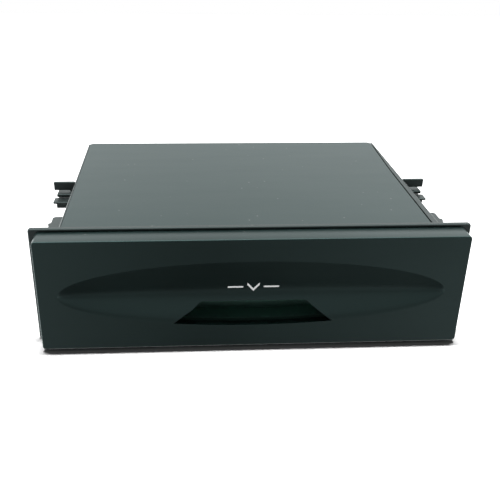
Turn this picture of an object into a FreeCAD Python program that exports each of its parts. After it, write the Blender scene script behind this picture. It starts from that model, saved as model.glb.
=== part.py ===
"""Single-DIN storage drawer box for a vehicle dashboard, as a parametric document.

Row frame in millimetres: X across the unit, Y from the front (-) to the rear (+),
Z up.  The origin is the middle of the unit's footprint, level with the flange's
lower edge.  Driving dimensions live in the sheet; every expression below is
worked out from them.
"""
import FreeCAD, Part
import os
import re

import Sketcher

V = FreeCAD.Vector
REARWARD = V(0, 1, 0)
doc = FreeCAD.newDocument("StorageDrawerBox")

# ---------------------------------------------------------------- dimensions
DIMENSIONS = {
    # overall unit
    "overall_depth": 140.0,      # front panel face to rear wall
    "flange_width": 188.0,
    "flange_height": 53.0,
    "flange_thick": 2.2,
    "flange_corner": 1.3,
    "flange_edge": 0.8,
    # front panel, proud of the flange
    "panel_width": 181.6,
    "panel_height": 50.6,
    "panel_thick": 10.0,
    "panel_gap": 0.6,            # shadow gap between panel and flange
    "panel_corner": 1.4,
    "panel_edge": 0.4,           # rounding of the front outline
    "panel_step": 1.4,           # skin between the scoop and the edge hollows
    "panel_boss_radius": 3.4,
    "panel_boss_root": 0.5,
    "panel_skin": 2.4,
    "panel_wall": 2.6,
    # lens-shaped scoop in the panel face
    "scoop_half_length": 82.3,
    "scoop_half_height": 15.2,
    "scoop_deep": 4.0,
    # finger recess, a trapezoid in the lower half of the scoop
    "recess_top_half": 22.4,
    "recess_low_half": 34.4,
    "recess_top_drop": 4.7,      # below mid height
    "recess_low_drop": 13.8,
    "recess_mid_drop": 15.1,
    "lip_thick": 2.6,            # lower lip of the opening, from the panel face
    "lip_drop": 1.2,             # relief under the opening behind the lip
    "cup_wall": 1.6,
    "cup_rim": 3.0,
    "cup_rim_thick": 1.4,
    "cup_window_gap": 0.25,
    "cup_reach": 7.0,            # behind the flange's front plane
    # housing
    "shell_width": 164.6,
    "shell_height": 48.6,
    "wall": 2.2,
    "shell_edge": 0.7,
    "shell_rear_corner": 2.4,
    "cover_thick": 1.9,
    "cover_edge": 0.12,
    "cover_gap": 0.1,            # cover below the rims, and behind the flange
    "cover_back_gap": 0.2,
    "ledge_reach": 2.5,          # ledge under the cover, inboard of the wall
    "ledge_thick": 2.0,
    "rim_left": 0.8,             # rim beside the cover
    "rim_right_front": 2.95,
    "rim_right_middle": 2.4,
    "rim_right_rear": 1.0,
    "rim_bend": 78.0,            # where the right rim starts to narrow faster
    "rim_end": 6.0,              # straight end of the right rim
    "seam_left": 0.08,
    "seam_right": 0.55,
    # snap hooks under the cover's edges
    "hook_first": 22.0,
    "hook_pitch": 40.0,
    "hook_length": 8.0,
    "hook_inset": 1.5,
    "hook_gap": 0.2,
    "hook_barb": 0.9,
    "hook_drop": 1.0,
    "hook_play": 0.15,
    "hook_root": 0.5,
    # cheeks behind the flange
    "cheek_reach": 5.9,          # outboard of the housing wall
    "cheek_deep": 29.5,
    "cheek_half_height": 20.0,
    "cheek_wall": 1.6,
    "cheek_tip": 1.0,
    "cheek_tip_start": 17.0,
    "cheek_tip_front": 20.6,
    "cheek_tip_rear": 22.0,
    "cheek_tip_end": 22.4,
    "cheek_chamfer": 1.0,
    "cheek_root": 0.9,           # solid web on the housing wall
    "cheek_solid": 12.0,         # solid front of a cheek, for the screws
    "flange_screw_x": 85.3,
    "flange_screw_rise": 14.0,
    # screws
    "flange_clearance": 1.7,
    "countersink_radius": 3.3,
    "countersink_deep": 1.6,
    "flange_head_radius": 3.0,
    "flange_head_foot": 1.4,
    "flange_head_high": 1.6,
    "flange_head_sink": 0.05,
    "flange_shank_radius": 1.25,
    "flange_shank_length": 10.0,
    "flange_pilot_radius": 1.3,
    "flange_pilot_deep": 9.0,
    "lug_screw_front": 76.0,
    "lug_screw_pitch": 10.0,
    "lug_screw_rise": 14.0,
    "lug_head_radius": 2.6,
    "lug_head_high": 1.5,
    "lug_head_off": 1.65,        # underside of the head, from the housing wall
    "lug_shank_radius": 1.15,
    "lug_pilot_radius": 1.2,
    "lug_clearance": 1.6,
    "panel_screw_x": 68.0,
    "panel_screw_inner_x": 26.0,
    "panel_screw_rise": 12.0,
    "panel_head_radius": 2.7,
    "panel_head_high": 1.8,
    "panel_shank_radius": 1.2,
    "panel_shank_length": 6.8,
    "panel_shank_root": 0.3,
    "panel_pilot_radius": 1.25,
    "panel_pilot_deep": 4.5,
    "panel_clearance": 1.7,
    "recess_half_span": 1.4,     # cross recess of every screw
    "recess_half_width": 0.3,
    "recess_deep": 0.9,
    "screw_play": 0.02,
    # stepped mounting lugs on the side walls
    "lug_foot_half": 90.6,
    "lug_ledge_half": 92.1,
    "lug_fin_half": 92.4,
    "lug_shelf_half": 90.8,
    "lug_neck_reach": 2.2,
    "lug_rib_reach": 2.6,
    "lug_base_reach": 1.6,
    # drawer tray
    "tray_half": 77.6,
    "tray_rear": 122.6,
    "tray_wall": 2.0,
    "tray_top_rise": 17.0,
    "tray_floor_drop": 20.3,     # underside of the tray floor below mid height
    "tray_foot": 1.45,           # glide ribs under the floor
    "tray_front_half": 79.3,
    "tray_front_rise": 19.6,
    "tray_front_drop": 21.6,
    "tray_corner": 5.0,
    "tray_rear_corner": 3.0,
    "tray_floor_radius": 1.5,
    "tray_plate_extra": 0.2,     # front plate thicker than the other walls
    "glide_rib": 1.5,
    "glide_inner": 6.5,
    "glide_outer": 5.0,
    "glide_front": 6.0,
    "stop_wall": 2.0,
    "mat_thick": 1.2,
    "mat_inset": 1.8,
    "mat_front_gap": 2.0,
    # guide rails and runners
    "runner_reach": 1.5,
    "runner_half": 3.0,
    "slide_gap": 0.35,
    "rail_half": 5.5,
    "rail_front": 4.0,
    "rail_rear": 126.0,
    "runner_front": 8.0,
    "runner_end": 4.0,
    "runner_chamfer": 1.0,
    # stop tongues in the housing floor
    "tongue_x": 62.5,
    "tongue_width": 8.0,
    "tongue_thick": 1.6,
    "tongue_front": 14.0,
    "tongue_root": 44.0,
    "tongue_root_radius": 1.05,
    "nose_front": 15.5,
    "nose_deep": 3.2,
    "nose_rise": 1.7,
    "nose_half": 3.0,
    "socket_gap": 0.05,
    "slot_gap": 0.5,
    # fixing points for dashboard brackets
    "insert_front_y": 76.0,
    "insert_pitch": 36.0,
    "insert_drop": 4.0,          # below mid height
    "insert_length": 6.0,
    "insert_radius": 3.4,
    "insert_thread": 2.1,        # M5 core radius
    "boss_radius": 5.4,
    "boss_reach": 4.4,
    # rear buffers
    "buffer_x": 48.0,
    "buffer_drop": 6.0,
    "buffer_radius": 4.5,
    "buffer_stem": 1.5,
    "buffer_stem_root": 0.5,
    "buffer_gap": 0.4,
}

# Steps of a mounting lug: name, outer half width, front and rear from the
# flange's front plane, low and high from mid height.
LUG_STEPS = (
    ("foot", "lug_foot_half", 54.3, 66.0, 14.2, 17.2),
    ("lower_ledge", "lug_ledge_half", 53.7, 60.0, 16.6, 17.6),
    ("upper_ledge", "lug_shelf_half", 58.8, 66.0, 18.2, 19.7),
    ("neck", "shell_width / 2 + lug_neck_reach", 62.0, 64.0, 19.2, 21.0),
    ("fin", "lug_fin_half", 62.0, 63.8, 20.6, 24.8),
    ("rib", "shell_width / 2 + lug_rib_reach", 63.0, 70.0, 19.0, 22.4),
    ("base", "shell_width / 2 + lug_base_reach", 58.8, 90.0, 10.5, 19.7),
)
# How far the recess's upper and lower corners move along X as its outline grows.
RECESS_TOP_GROWTH = 0.55
RECESS_LOW_GROWTH = 1.9
# A sketch point just off the axis it would otherwise touch.
ARC_GUESS = "0.0001"
# Smallest volume in mm3 that the scoop must take from the panel.
SCOOP_MINIMUM = 1000.0

sheet = doc.addObject("Spreadsheet::Sheet", "Sheet")
for row_number, (alias, value) in enumerate(DIMENSIONS.items(), start=1):
    sheet.set(f"A{row_number}", alias)
    sheet.set(f"B{row_number}", str(value))
    sheet.setAlias(f"B{row_number}", alias)
doc.recompute()


def dim(text):
    """Turn words such as '-wall + panel_gap' into an expression on the sheet."""
    return re.sub(r"[a-z_]+", lambda m: "Sheet." + m[0] if m[0] in DIMENSIONS else m[0], text)


# Reference heights and planes, as expressions on the sheet.
FACE = "(panel_gap + panel_thick - overall_depth / 2)"     # flange front plane
BACK = "(overall_depth / 2)"                               # rear wall, outside
MID = "(flange_height / 2)"                                # mid height
SHELL_FRONT = f"({FACE} + flange_thick)"
SHELL_LOW = f"({MID} - shell_height / 2)"
SHELL_TOP = f"({MID} + shell_height / 2)"
FLOOR_TOP = f"({SHELL_LOW} + wall)"
INNER_HALF = "(shell_width / 2 - wall)"
COVER_SEAT = f"({SHELL_TOP} - cover_thick)"
LEDGE_LOW = f"({COVER_SEAT} - ledge_thick)"
INNER_BACK = f"({BACK} - wall)"
PANEL_BACK = f"({FACE} - panel_gap)"
PANEL_FACE = f"({PANEL_BACK} - panel_thick)"
PANEL_INNER = f"({PANEL_FACE} + scoop_deep + panel_skin)"
TRAY_PLATE_BACK = f"({PANEL_BACK} + tray_wall + tray_plate_extra)"
TRAY_FLOOR_LOW = f"({MID} - tray_floor_drop)"
TRAY_FLOOR_TOP = f"({TRAY_FLOOR_LOW} + tray_wall)"
OVERRUN = "1"                                              # cutters run past faces


def number(text):
    """Value of an expression on the sheet, in millimetres."""
    value = sheet.evalExpression(dim(text))
    return float(getattr(value, "Value", value))


# ---------------------------------------------------------- sketch utilities
def new_body(name):
    """A PartDesign body whose label names its file."""
    body = doc.addObject("PartDesign::Body", "Body_" + name)
    body.Label = name
    return body


def sketch_on(body, name, role, level):
    """Sketch parallel to an origin plane, at a level along the plane's own axis.

    XY_Plane sketches read (X, Y) and sit at a height; XZ_Plane sketches read
    (X, Z) and sit at a Y; YZ_Plane sketches read (Y, Z) and sit at an X.
    """
    plane = next(f for f in body.Origin.OriginFeatures if f.Role == role)
    sketch = body.newObject("Sketcher::SketchObject", f"{body.Label}_{name}")
    sketch.AttachmentSupport = [(plane, "")]
    sketch.MapMode = "FlatFace"
    sign = "-" if role == "XZ_Plane" else ""
    sketch.setExpression("AttachmentOffset.Base.z", dim(f"{sign}({level})"))
    doc.recompute()
    return sketch


def outline(sketch, corners, arcs=None):
    """Closed outline through corners given as pairs of expressions.

    arcs maps an edge's number to (radius, middle point) for the edges that are
    arcs; the others are straight.
    """
    arcs = arcs or {}
    points = [V(number(x), number(y), 0) for x, y in corners]
    ends = []
    for k, start in enumerate(points):
        finish = points[(k + 1) % len(points)]
        if k in arcs:
            middle = V(number(arcs[k][1][0]), number(arcs[k][1][1]), 0)
            edge = sketch.addGeometry(Part.Arc(start, middle, finish), False)
            forward = (sketch.getPoint(edge, 1) - start).Length < 1e-6
            ends.append((edge, 1 if forward else 2, 2 if forward else 1))
            bend = sketch.addConstraint(
                Sketcher.Constraint("Radius", edge, number(arcs[k][0])))
            sketch.setExpression(f"Constraints[{bend}]", dim(arcs[k][0]))
        else:
            edge = sketch.addGeometry(Part.LineSegment(start, finish), False)
            ends.append((edge, 1, 2))
    for k, (edge, first, last) in enumerate(ends):
        after, after_first, _ = ends[(k + 1) % len(ends)]
        sketch.addConstraint(
            Sketcher.Constraint("Coincident", edge, last, after, after_first))
        for kind, text in (("DistanceX", corners[k][0]), ("DistanceY", corners[k][1])):
            tie = sketch.addConstraint(
                Sketcher.Constraint(kind, -1, 1, edge, first, number(text)))
            sketch.setExpression(f"Constraints[{tie}]", dim(text))
    doc.recompute()


def rectangle(sketch, left, right, low, high):
    """Rectangle between two pairs of expressions."""
    outline(sketch, [(left, low), (right, low), (right, high), (left, high)])


def both_sides(sketch, inner, outer, low, high):
    """Two rectangles, mirrored about X = 0."""
    rectangle(sketch, inner, outer, low, high)
    rectangle(sketch, f"-({outer})", f"-({inner})", low, high)


def pad(body, sketch, length, backwards=False):
    """Pad a sketch along its own axis, or backwards."""
    feature = body.newObject("PartDesign::Pad", sketch.Name + "_pad")
    feature.Profile = sketch
    feature.setExpression("Length", dim(length))
    feature.Reversed = backwards
    doc.recompute()
    return feature


def pocket(body, sketch, length, backwards=False):
    """Pocket a sketch against its own axis, and prove that it cut something."""
    before = body.Shape.Volume
    feature = body.newObject("PartDesign::Pocket", sketch.Name + "_pocket")
    feature.Profile = sketch
    feature.setExpression("Length", dim(length))
    feature.Reversed = backwards
    doc.recompute()
    if body.Shape.Volume > before - 0.5:
        raise RuntimeError(f"{feature.Name} cut nothing")
    return feature


def edges_where(shape, test):
    """Names of the edges whose middle point and direction pass a test."""
    names = []
    for k, edge in enumerate(shape.Edges, start=1):
        middle = edge.valueAt((edge.FirstParameter + edge.LastParameter) / 2)
        along = edge.tangentAt((edge.FirstParameter + edge.LastParameter) / 2)
        if test(middle, along):
            names.append(f"Edge{k}")
    return names


def fillet(body, base, test, radius):
    """Round the edges of a feature that pass a test."""
    feature = body.newObject("PartDesign::Fillet", base.Name + "_round")
    feature.Base = (base, edges_where(base.Shape, test))
    feature.setExpression("Radius", dim(radius))
    doc.recompute()
    return feature


# ------------------------------------------------------ primitive utilities
def block(name, low, high):
    """Box between two corners given as triples of expressions."""
    box = doc.addObject("Part::Box", name)
    for size, axis, a, b in zip(("Length", "Width", "Height"), "xyz", low, high):
        box.setExpression(size, dim(f"({b}) - ({a})"))
        box.setExpression(f"Placement.Base.{axis}", dim(a))
    return box


def rod(name, radius, length, base, direction):
    """Cylinder from a base point along a direction."""
    cylinder = doc.addObject("Part::Cylinder", name)
    cylinder.setExpression("Radius", dim(radius))
    cylinder.setExpression("Height", dim(length))
    for axis, text in zip("xyz", base):
        cylinder.setExpression(f"Placement.Base.{axis}", dim(text))
    cylinder.Placement.Rotation = FreeCAD.Rotation(V(0, 0, 1), direction)
    return cylinder


def cone(name, foot, head, length, base, direction):
    """Cone from a base point along a direction, with a radius at each end."""
    result = doc.addObject("Part::Cone", name)
    result.setExpression("Radius1", dim(foot))
    result.setExpression("Radius2", dim(head))
    result.setExpression("Height", dim(length))
    for axis, text in zip("xyz", base):
        result.setExpression(f"Placement.Base.{axis}", dim(text))
    result.Placement.Rotation = FreeCAD.Rotation(V(0, 0, 1), direction)
    return result


def fuse(name, pieces):
    """One solid from overlapping pieces."""
    joined = doc.addObject("Part::MultiFuse", name)
    joined.Shapes = pieces
    joined.Refine = True
    return joined


def cut(name, base, tools):
    """Base with every tool taken away."""
    result = doc.addObject("Part::Cut", name)
    result.Base = base
    result.Tool = fuse(name + "_tools", tools) if len(tools) > 1 else tools[0]
    result.Refine = True
    return result


def group(name, pieces):
    """Separate identical solids that share one node."""
    bundle = doc.addObject("Part::Compound", name)
    bundle.Links = pieces
    return bundle


def sides(maker):
    """Make one piece for each side: left is -X, right is +X."""
    return [maker(label, sign) for label, sign in (("left", "-"), ("right", "+"))]


def across(sign, inner, outer):
    """Low and high X of a span that lies outboard on one side."""
    if sign == "+":
        return f"({inner})", f"({outer})"
    return f"-({outer})", f"-({inner})"


# ------------------------------------------------------------------- housing
def flange_screw_places():
    """The four screws through the flange into the cheeks: (X, Z)."""
    return [(f"{sx}flange_screw_x", f"{MID} {sz} flange_screw_rise")
            for sx in ("-", "") for sz in ("-", "+")]


def insert_places(sign):
    """The two threaded inserts on one side: (X of the outer wall, Y, Z)."""
    return [(f"{sign}shell_width / 2", f"{FACE} + insert_front_y + {k} * insert_pitch",
             f"{MID} - insert_drop") for k in (0, 1)]


def lug_screw_places(sign):
    """The two screws that hold one lug: (X of the outer wall, Y, Z)."""
    return [(f"{sign}shell_width / 2", f"{FACE} + lug_screw_front + {k} * lug_screw_pitch",
             f"{MID} + lug_screw_rise") for k in (0, 1)]


def buffer_places():
    """The two buffers on the rear wall: (X, Z)."""
    return [(f"{sx}buffer_x", f"{MID} - buffer_drop") for sx in ("-", "")]


def outward(sign):
    """Direction out of a side wall."""
    return V(1, 0, 0) if sign == "+" else V(-1, 0, 0)


def inboard(sign):
    """Sign that moves a position on one side towards the middle."""
    return "+" if sign == "-" else "-"


def cross_recess(name, low, high, spots):
    """Two crossing slots of a screw: corners as functions of the half sizes."""
    halves = (("recess_half_span", "recess_half_width"),
              ("recess_half_width", "recess_half_span"))
    return [block(f"{name}_slot_{n}", low(*pair, *spots), high(*pair, *spots))
            for n, pair in enumerate(halves)]


def make_housing_shell():
    """Open tub: floor, side walls, rear wall, rims, cheeks and side bosses."""
    body = new_body("housing_moulding")
    base = sketch_on(body, "footprint", "XY_Plane", SHELL_LOW)
    rectangle(base, "-shell_width / 2", "shell_width / 2", SHELL_FRONT, BACK)
    tub = pad(body, base, "shell_height")

    bay = sketch_on(body, "bay", "XZ_Plane", SHELL_FRONT)
    rectangle(bay, f"-{INNER_HALF}", INNER_HALF, FLOOR_TOP, LEDGE_LOW)
    pocket(body, bay, f"{INNER_BACK} - {SHELL_FRONT}")

    throat = sketch_on(body, "throat", "XY_Plane", SHELL_TOP)
    rectangle(throat, f"-({INNER_HALF} - ledge_reach)", f"{INNER_HALF} - ledge_reach",
              f"{SHELL_FRONT} - {OVERRUN}", INNER_BACK)
    pocket(body, throat, f"{SHELL_TOP} - {LEDGE_LOW}")

    seat = sketch_on(body, "cover_seat", "XY_Plane", SHELL_TOP)
    outline(seat, [
        ("rim_left - shell_width / 2", f"{SHELL_FRONT} - {OVERRUN}"),
        ("shell_width / 2 - rim_right_front", f"{SHELL_FRONT} - {OVERRUN}"),
        ("shell_width / 2 - rim_right_middle", f"{FACE} + rim_bend"),
        ("shell_width / 2 - rim_right_rear", f"{BACK} - rim_end"),
        ("shell_width / 2 - rim_right_rear", f"{BACK} + {OVERRUN}"),
        ("rim_left - shell_width / 2", f"{BACK} + {OVERRUN}")])
    recessed = pocket(body, seat, "cover_thick")

    half, low, back = number("shell_width / 2"), number(SHELL_LOW), number(BACK)
    corners = fillet(body, recessed, lambda p, d: abs(d.z) > 0.99
                     and abs(abs(p.x) - half) < 0.01 and abs(p.y - back) < 0.01,
                     "shell_rear_corner")
    top = number(SHELL_TOP)
    fillet(body, corners, lambda p, d: abs(d.y) > 0.99 and abs(abs(p.x) - half) < 0.01
           and (abs(p.z - top) < 0.01 or abs(p.z - low) < 0.01), "shell_edge")

    cheek = sketch_on(body, "cheeks", "XY_Plane", f"{MID} - cheek_half_height")
    for s in ("-", ""):
        wall = f"{s}(shell_width / 2 - wall / 2)"
        plain = f"{s}(shell_width / 2 + cheek_reach)"
        tip = f"{s}(shell_width / 2 + cheek_reach + cheek_tip)"
        outline(cheek, [(wall, SHELL_FRONT), (plain, SHELL_FRONT),
                        (plain, f"{FACE} + cheek_tip_start"),
                        (tip, f"{FACE} + cheek_tip_front"),
                        (tip, f"{FACE} + cheek_tip_rear"),
                        (plain, f"{FACE} + cheek_tip_end"),
                        (plain, f"{FACE} + cheek_deep - cheek_chamfer"),
                        (f"{s}(shell_width / 2 + cheek_reach - cheek_chamfer)",
                         f"{FACE} + cheek_deep"),
                        (wall, f"{FACE} + cheek_deep")])
    pad(body, cheek, "2 * cheek_half_height")

    hollow = sketch_on(body, "cheek_hollows", "XZ_Plane", f"{FACE} + cheek_deep")
    both_sides(hollow, "shell_width / 2 + cheek_root",
               "shell_width / 2 + cheek_reach - cheek_wall",
               f"{MID} - cheek_half_height + cheek_wall",
               f"{MID} + cheek_half_height - cheek_wall")
    pocket(body, hollow, "cheek_deep - cheek_solid", backwards=True)

    cutters = []
    for k, (x, z) in enumerate(flange_screw_places()):
        cutters.append(rod(f"cheek_pilot_{k}", "flange_pilot_radius", "flange_pilot_deep",
                           (x, SHELL_FRONT, z), REARWARD))
    for sign in ("-", "+"):
        for k, (x, y, z) in enumerate(lug_screw_places(sign)):
            cutters.append(rod(f"lug_pilot_{ord(sign)}_{k}", "lug_pilot_radius",
                               f"wall + 2 * {OVERRUN}", (f"{x} {sign} {OVERRUN}", y, z),
                               -outward(sign)))
        for k, (x, y, z) in enumerate(insert_places(sign)):
            seat_x = f"{sign}(shell_width / 2 + boss_reach - insert_length)"
            cutters.append(rod(f"insert_seat_{ord(sign)}_{k}", "insert_radius",
                               f"insert_length + {OVERRUN}", (seat_x, y, z), outward(sign)))
        middle = f"{sign}tongue_x"
        window_low = (f"{middle} - tongue_width / 2 - slot_gap",
                      f"{FACE} + tongue_front - slot_gap", f"{SHELL_LOW} - {OVERRUN}")
        window_high = (f"{middle} + tongue_width / 2 + slot_gap",
                       f"{FACE} + tongue_root", f"{FLOOR_TOP} + {OVERRUN}")
        cutters.append(block(f"tongue_window_{ord(sign)}", window_low, window_high))
        cutters.append(rod(f"tongue_socket_{ord(sign)}", "tongue_root_radius + socket_gap",
                           "tongue_width + 2 * slot_gap",
                           (window_low[0], f"{FACE} + tongue_root",
                            f"{SHELL_LOW} + wall / 2"), outward("+")))
    for k, (x, z) in enumerate(buffer_places()):
        cutters.append(rod(f"buffer_hole_{k}", "buffer_stem", f"wall + 2 * {OVERRUN}",
                           (x, f"{INNER_BACK} - {OVERRUN}", z), REARWARD))

    bosses = [rod(f"side_boss_{ord(sign)}_{k}", "boss_radius", "boss_reach + wall / 2",
                  (f"{x} {inboard(sign)} wall / 2", y, z), outward(sign))
              for sign in ("-", "+") for k, (x, y, z) in enumerate(insert_places(sign))]
    return cut("housing_shell", fuse("housing_with_bosses", [body] + bosses), cutters)


def make_top_cover():
    """Cover plate let in between the rims, with snap hooks under its edges."""
    body = new_body("cover_plate")
    plate = sketch_on(body, "plate", "XY_Plane", COVER_SEAT)
    left = "rim_left + seam_left - shell_width / 2"
    outline(plate, [
        (left, f"{SHELL_FRONT} + cover_gap"),
        ("shell_width / 2 - rim_right_front - seam_right", f"{SHELL_FRONT} + cover_gap"),
        ("shell_width / 2 - rim_right_middle - seam_right", f"{FACE} + rim_bend"),
        ("shell_width / 2 - rim_right_rear - seam_right", f"{BACK} - rim_end"),
        ("shell_width / 2 - rim_right_rear - seam_right", f"{BACK} - cover_back_gap"),
        (left, f"{BACK} - cover_back_gap")])
    slab = pad(body, plate, "cover_thick - cover_gap")
    back = number(f"{BACK} - cover_back_gap")
    rounded = fillet(body, slab, lambda p, d: abs(d.z) > 0.99 and abs(p.y - back) < 0.01,
                     "shell_rear_corner - cover_back_gap")
    top = number(f"{SHELL_TOP} - cover_gap")
    fillet(body, rounded, lambda p, d: abs(p.z - top) < 0.01 and abs(d.z) < 0.01, "cover_edge")

    hooks = []
    reach = f"{INNER_HALF} - ledge_reach"
    for sign in ("-", "+"):
        for k in range(3):
            y = f"{FACE} + hook_first + {k} * hook_pitch"
            low = f"{LEDGE_LOW} - hook_drop"
            near, far = across(sign, f"{reach} - hook_inset", f"{reach} - hook_gap")
            hooks.append(block(f"hook_stem_{ord(sign)}_{k}", (near, y, low),
                               (far, f"{y} + hook_length", f"{COVER_SEAT} + hook_root")))
            near, far = across(sign, f"{reach} - hook_inset", f"{reach} + hook_barb")
            hooks.append(block(f"hook_barb_{ord(sign)}_{k}", (near, y, low),
                               (far, f"{y} + hook_length", f"{LEDGE_LOW} - hook_play")))
    return fuse("top_cover", [body] + hooks)


def make_flange_frame():
    """Thin front frame that overlaps the dashboard opening all round."""
    body = new_body("flange_moulding")
    face = sketch_on(body, "face", "XZ_Plane", FACE)
    rectangle(face, "-flange_width / 2", "flange_width / 2", "0.001", "flange_height")
    plate = pad(body, face, "flange_thick", backwards=True)
    rounded = fillet(body, plate, lambda p, d: abs(d.y) > 0.99, "flange_corner")
    front = number(FACE)
    fillet(body, rounded, lambda p, d: abs(p.y - front) < 0.01, "flange_edge")
    mouth = sketch_on(body, "mouth", "XZ_Plane", FACE)
    rectangle(mouth, f"-{INNER_HALF}", INNER_HALF, FLOOR_TOP, LEDGE_LOW)
    pocket(body, mouth, "flange_thick")
    cutters = []
    for k, (x, z) in enumerate(flange_screw_places()):
        cutters.append(rod(f"flange_hole_{k}", "flange_clearance",
                           f"flange_thick + 2 * {OVERRUN}", (x, f"{FACE} - {OVERRUN}", z),
                           REARWARD))
        cutters.append(cone(f"flange_sink_{k}", "countersink_radius", "flange_clearance",
                            "countersink_deep", (x, FACE, z), REARWARD))
    return cut("flange_frame", body, cutters)


def make_mounting_lug(label, sign):
    """Stepped lug on a side wall: ledges one behind the other, a fin and a base."""
    pieces = []
    for name, outer, front, rear, low, high in LUG_STEPS:
        near, far = across(sign, "shell_width / 2", outer)
        pieces.append(block(f"{label}_lug_{name}",
                            (near, f"{FACE} + {front}", f"{MID} + {low}"),
                            (far, f"{FACE} + {rear}", f"{MID} + {high}")))
    holes = [rod(f"{label}_lug_hole_{k}", "lug_clearance", f"lug_base_reach + 2 * {OVERRUN}",
                 (f"{x} {inboard(sign)} {OVERRUN}", y, z), outward(sign))
             for k, (x, y, z) in enumerate(lug_screw_places(sign))]
    return cut(f"{label}_mounting_lug", fuse(f"{label}_lug_block", pieces), holes)


def make_guide_rail(label, sign):
    """Low-friction channel on the inside of a side wall."""
    near, far = across(sign, "tray_half + slide_gap", INNER_HALF)
    channel = block(f"{label}_rail_bar", (near, f"{FACE} + rail_front", f"{MID} - rail_half"),
                    (far, f"{FACE} + rail_rear", f"{MID} + rail_half"))
    near, far = across(sign, "tray_half", "tray_half + runner_reach + slide_gap")
    groove = block(f"{label}_rail_groove",
                   (near, f"{FACE} + rail_front - {OVERRUN}",
                    f"{MID} - runner_half - slide_gap"),
                   (far, f"{FACE} + rail_rear + {OVERRUN}",
                    f"{MID} + runner_half + slide_gap"))
    return cut(f"{label}_guide_rail", channel, [groove])


def make_stop_tongue(label, sign):
    """Sprung tongue in the floor whose nose stops the drawer at full travel."""
    middle = f"{sign}tongue_x"
    axis_z = f"({SHELL_LOW} + wall / 2)"
    strip = block(f"{label}_tongue_strip",
                  (f"{middle} - tongue_width / 2", f"{FACE} + tongue_front",
                   f"{axis_z} - tongue_thick / 2"),
                  (f"{middle} + tongue_width / 2", f"{FACE} + tongue_root",
                   f"{axis_z} + tongue_thick / 2"))
    root = rod(f"{label}_tongue_root", "tongue_root_radius", "tongue_width",
               (f"{middle} - tongue_width / 2", f"{FACE} + tongue_root", axis_z),
               outward("+"))
    nose = block(f"{label}_tongue_nose",
                 (f"{middle} - nose_half", f"{FACE} + nose_front", axis_z),
                 (f"{middle} + nose_half", f"{FACE} + nose_front + nose_deep",
                  f"{axis_z} + tongue_thick / 2 + nose_rise"))
    return fuse(f"{label}_stop_tongue", [strip, root, nose])


def make_flange_screws():
    """Countersunk screws through the flange into the cheeks."""
    screws = []
    for k, (x, z) in enumerate(flange_screw_places()):
        head = cone(f"flange_screw_head_{k}", "flange_head_radius", "flange_head_foot",
                    "flange_head_high", (x, f"{FACE} + flange_head_sink", z), REARWARD)
        shank = rod(f"flange_screw_shank_{k}", "flange_shank_radius", "flange_shank_length",
                    (x, f"{FACE} + flange_head_sink + recess_deep / 2", z), REARWARD)
        slots = cross_recess(
            f"flange_screw_{k}",
            lambda w, h, px, pz: (f"{px} - {w}", f"{FACE} - {OVERRUN}", f"{pz} - {h}"),
            lambda w, h, px, pz: (f"{px} + {w}", f"{FACE} + recess_deep", f"{pz} + {h}"),
            (x, z))
        screws.append(cut(f"flange_screw_{k}", fuse(f"flange_screw_blank_{k}",
                                                    [head, shank]), slots))
    return group("flange_screws", screws)


def make_lug_screws():
    """Pan-head screws that hold the lugs to the side walls."""
    screws = []
    for sign in ("-", "+"):
        seat = "shell_width / 2 + lug_head_off"
        near, far = across(sign, f"{seat} + lug_head_high - recess_deep",
                           f"{seat} + lug_head_high + {OVERRUN}")
        for k, (x, y, z) in enumerate(lug_screw_places(sign)):
            tag = f"{ord(sign)}_{k}"
            shank = rod(f"lug_screw_shank_{tag}", "lug_shank_radius",
                        "wall + lug_head_off + recess_deep / 2",
                        (f"{x} {inboard(sign)} wall", y, z), outward(sign))
            head = rod(f"lug_screw_head_{tag}", "lug_head_radius", "lug_head_high",
                       (f"{x} {sign} lug_head_off", y, z), outward(sign))
            slots = cross_recess(
                f"lug_screw_{tag}",
                lambda w, h, low, high, py, pz: (low, f"{py} - {w}", f"{pz} - {h}"),
                lambda w, h, low, high, py, pz: (high, f"{py} + {w}", f"{pz} + {h}"),
                (near, far, y, z))
            screws.append(cut(f"lug_screw_{tag}", fuse(f"lug_screw_blank_{tag}",
                                                       [shank, head]), slots))
    return group("lug_screws", screws)


def make_side_inserts():
    """Threaded brass inserts that dashboard brackets bolt to."""
    inserts = []
    for sign in ("-", "+"):
        seat_x = f"{sign}(shell_width / 2 + boss_reach - insert_length)"
        for k, (_, y, z) in enumerate(insert_places(sign)):
            tag = f"{ord(sign)}_{k}"
            barrel = rod(f"insert_barrel_{tag}", "insert_radius", "insert_length",
                         (seat_x, y, z), outward(sign))
            thread = rod(f"insert_thread_{tag}", "insert_thread",
                         f"insert_length + 2 * {OVERRUN}",
                         (f"{seat_x} {inboard(sign)} {OVERRUN}", y, z), outward(sign))
            inserts.append(cut(f"side_insert_{tag}", barrel, [thread]))
    return group("side_inserts", inserts)


def make_rear_buffers():
    """Rubber buffers on the rear wall that the closed drawer rests against."""
    buffers = []
    for k, (x, z) in enumerate(buffer_places()):
        head = rod(f"buffer_head_{k}", "buffer_radius",
                   f"{INNER_BACK} - {FACE} - tray_rear - buffer_gap",
                   (x, f"{FACE} + tray_rear + buffer_gap", z), REARWARD)
        stem = rod(f"buffer_stem_{k}", "buffer_stem", "wall + buffer_stem_root",
                   (x, f"{INNER_BACK} - buffer_stem_root", z), REARWARD)
        buffers.append(fuse(f"rear_buffer_{k}", [head, stem]))
    return group("rear_buffers", buffers)


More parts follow.
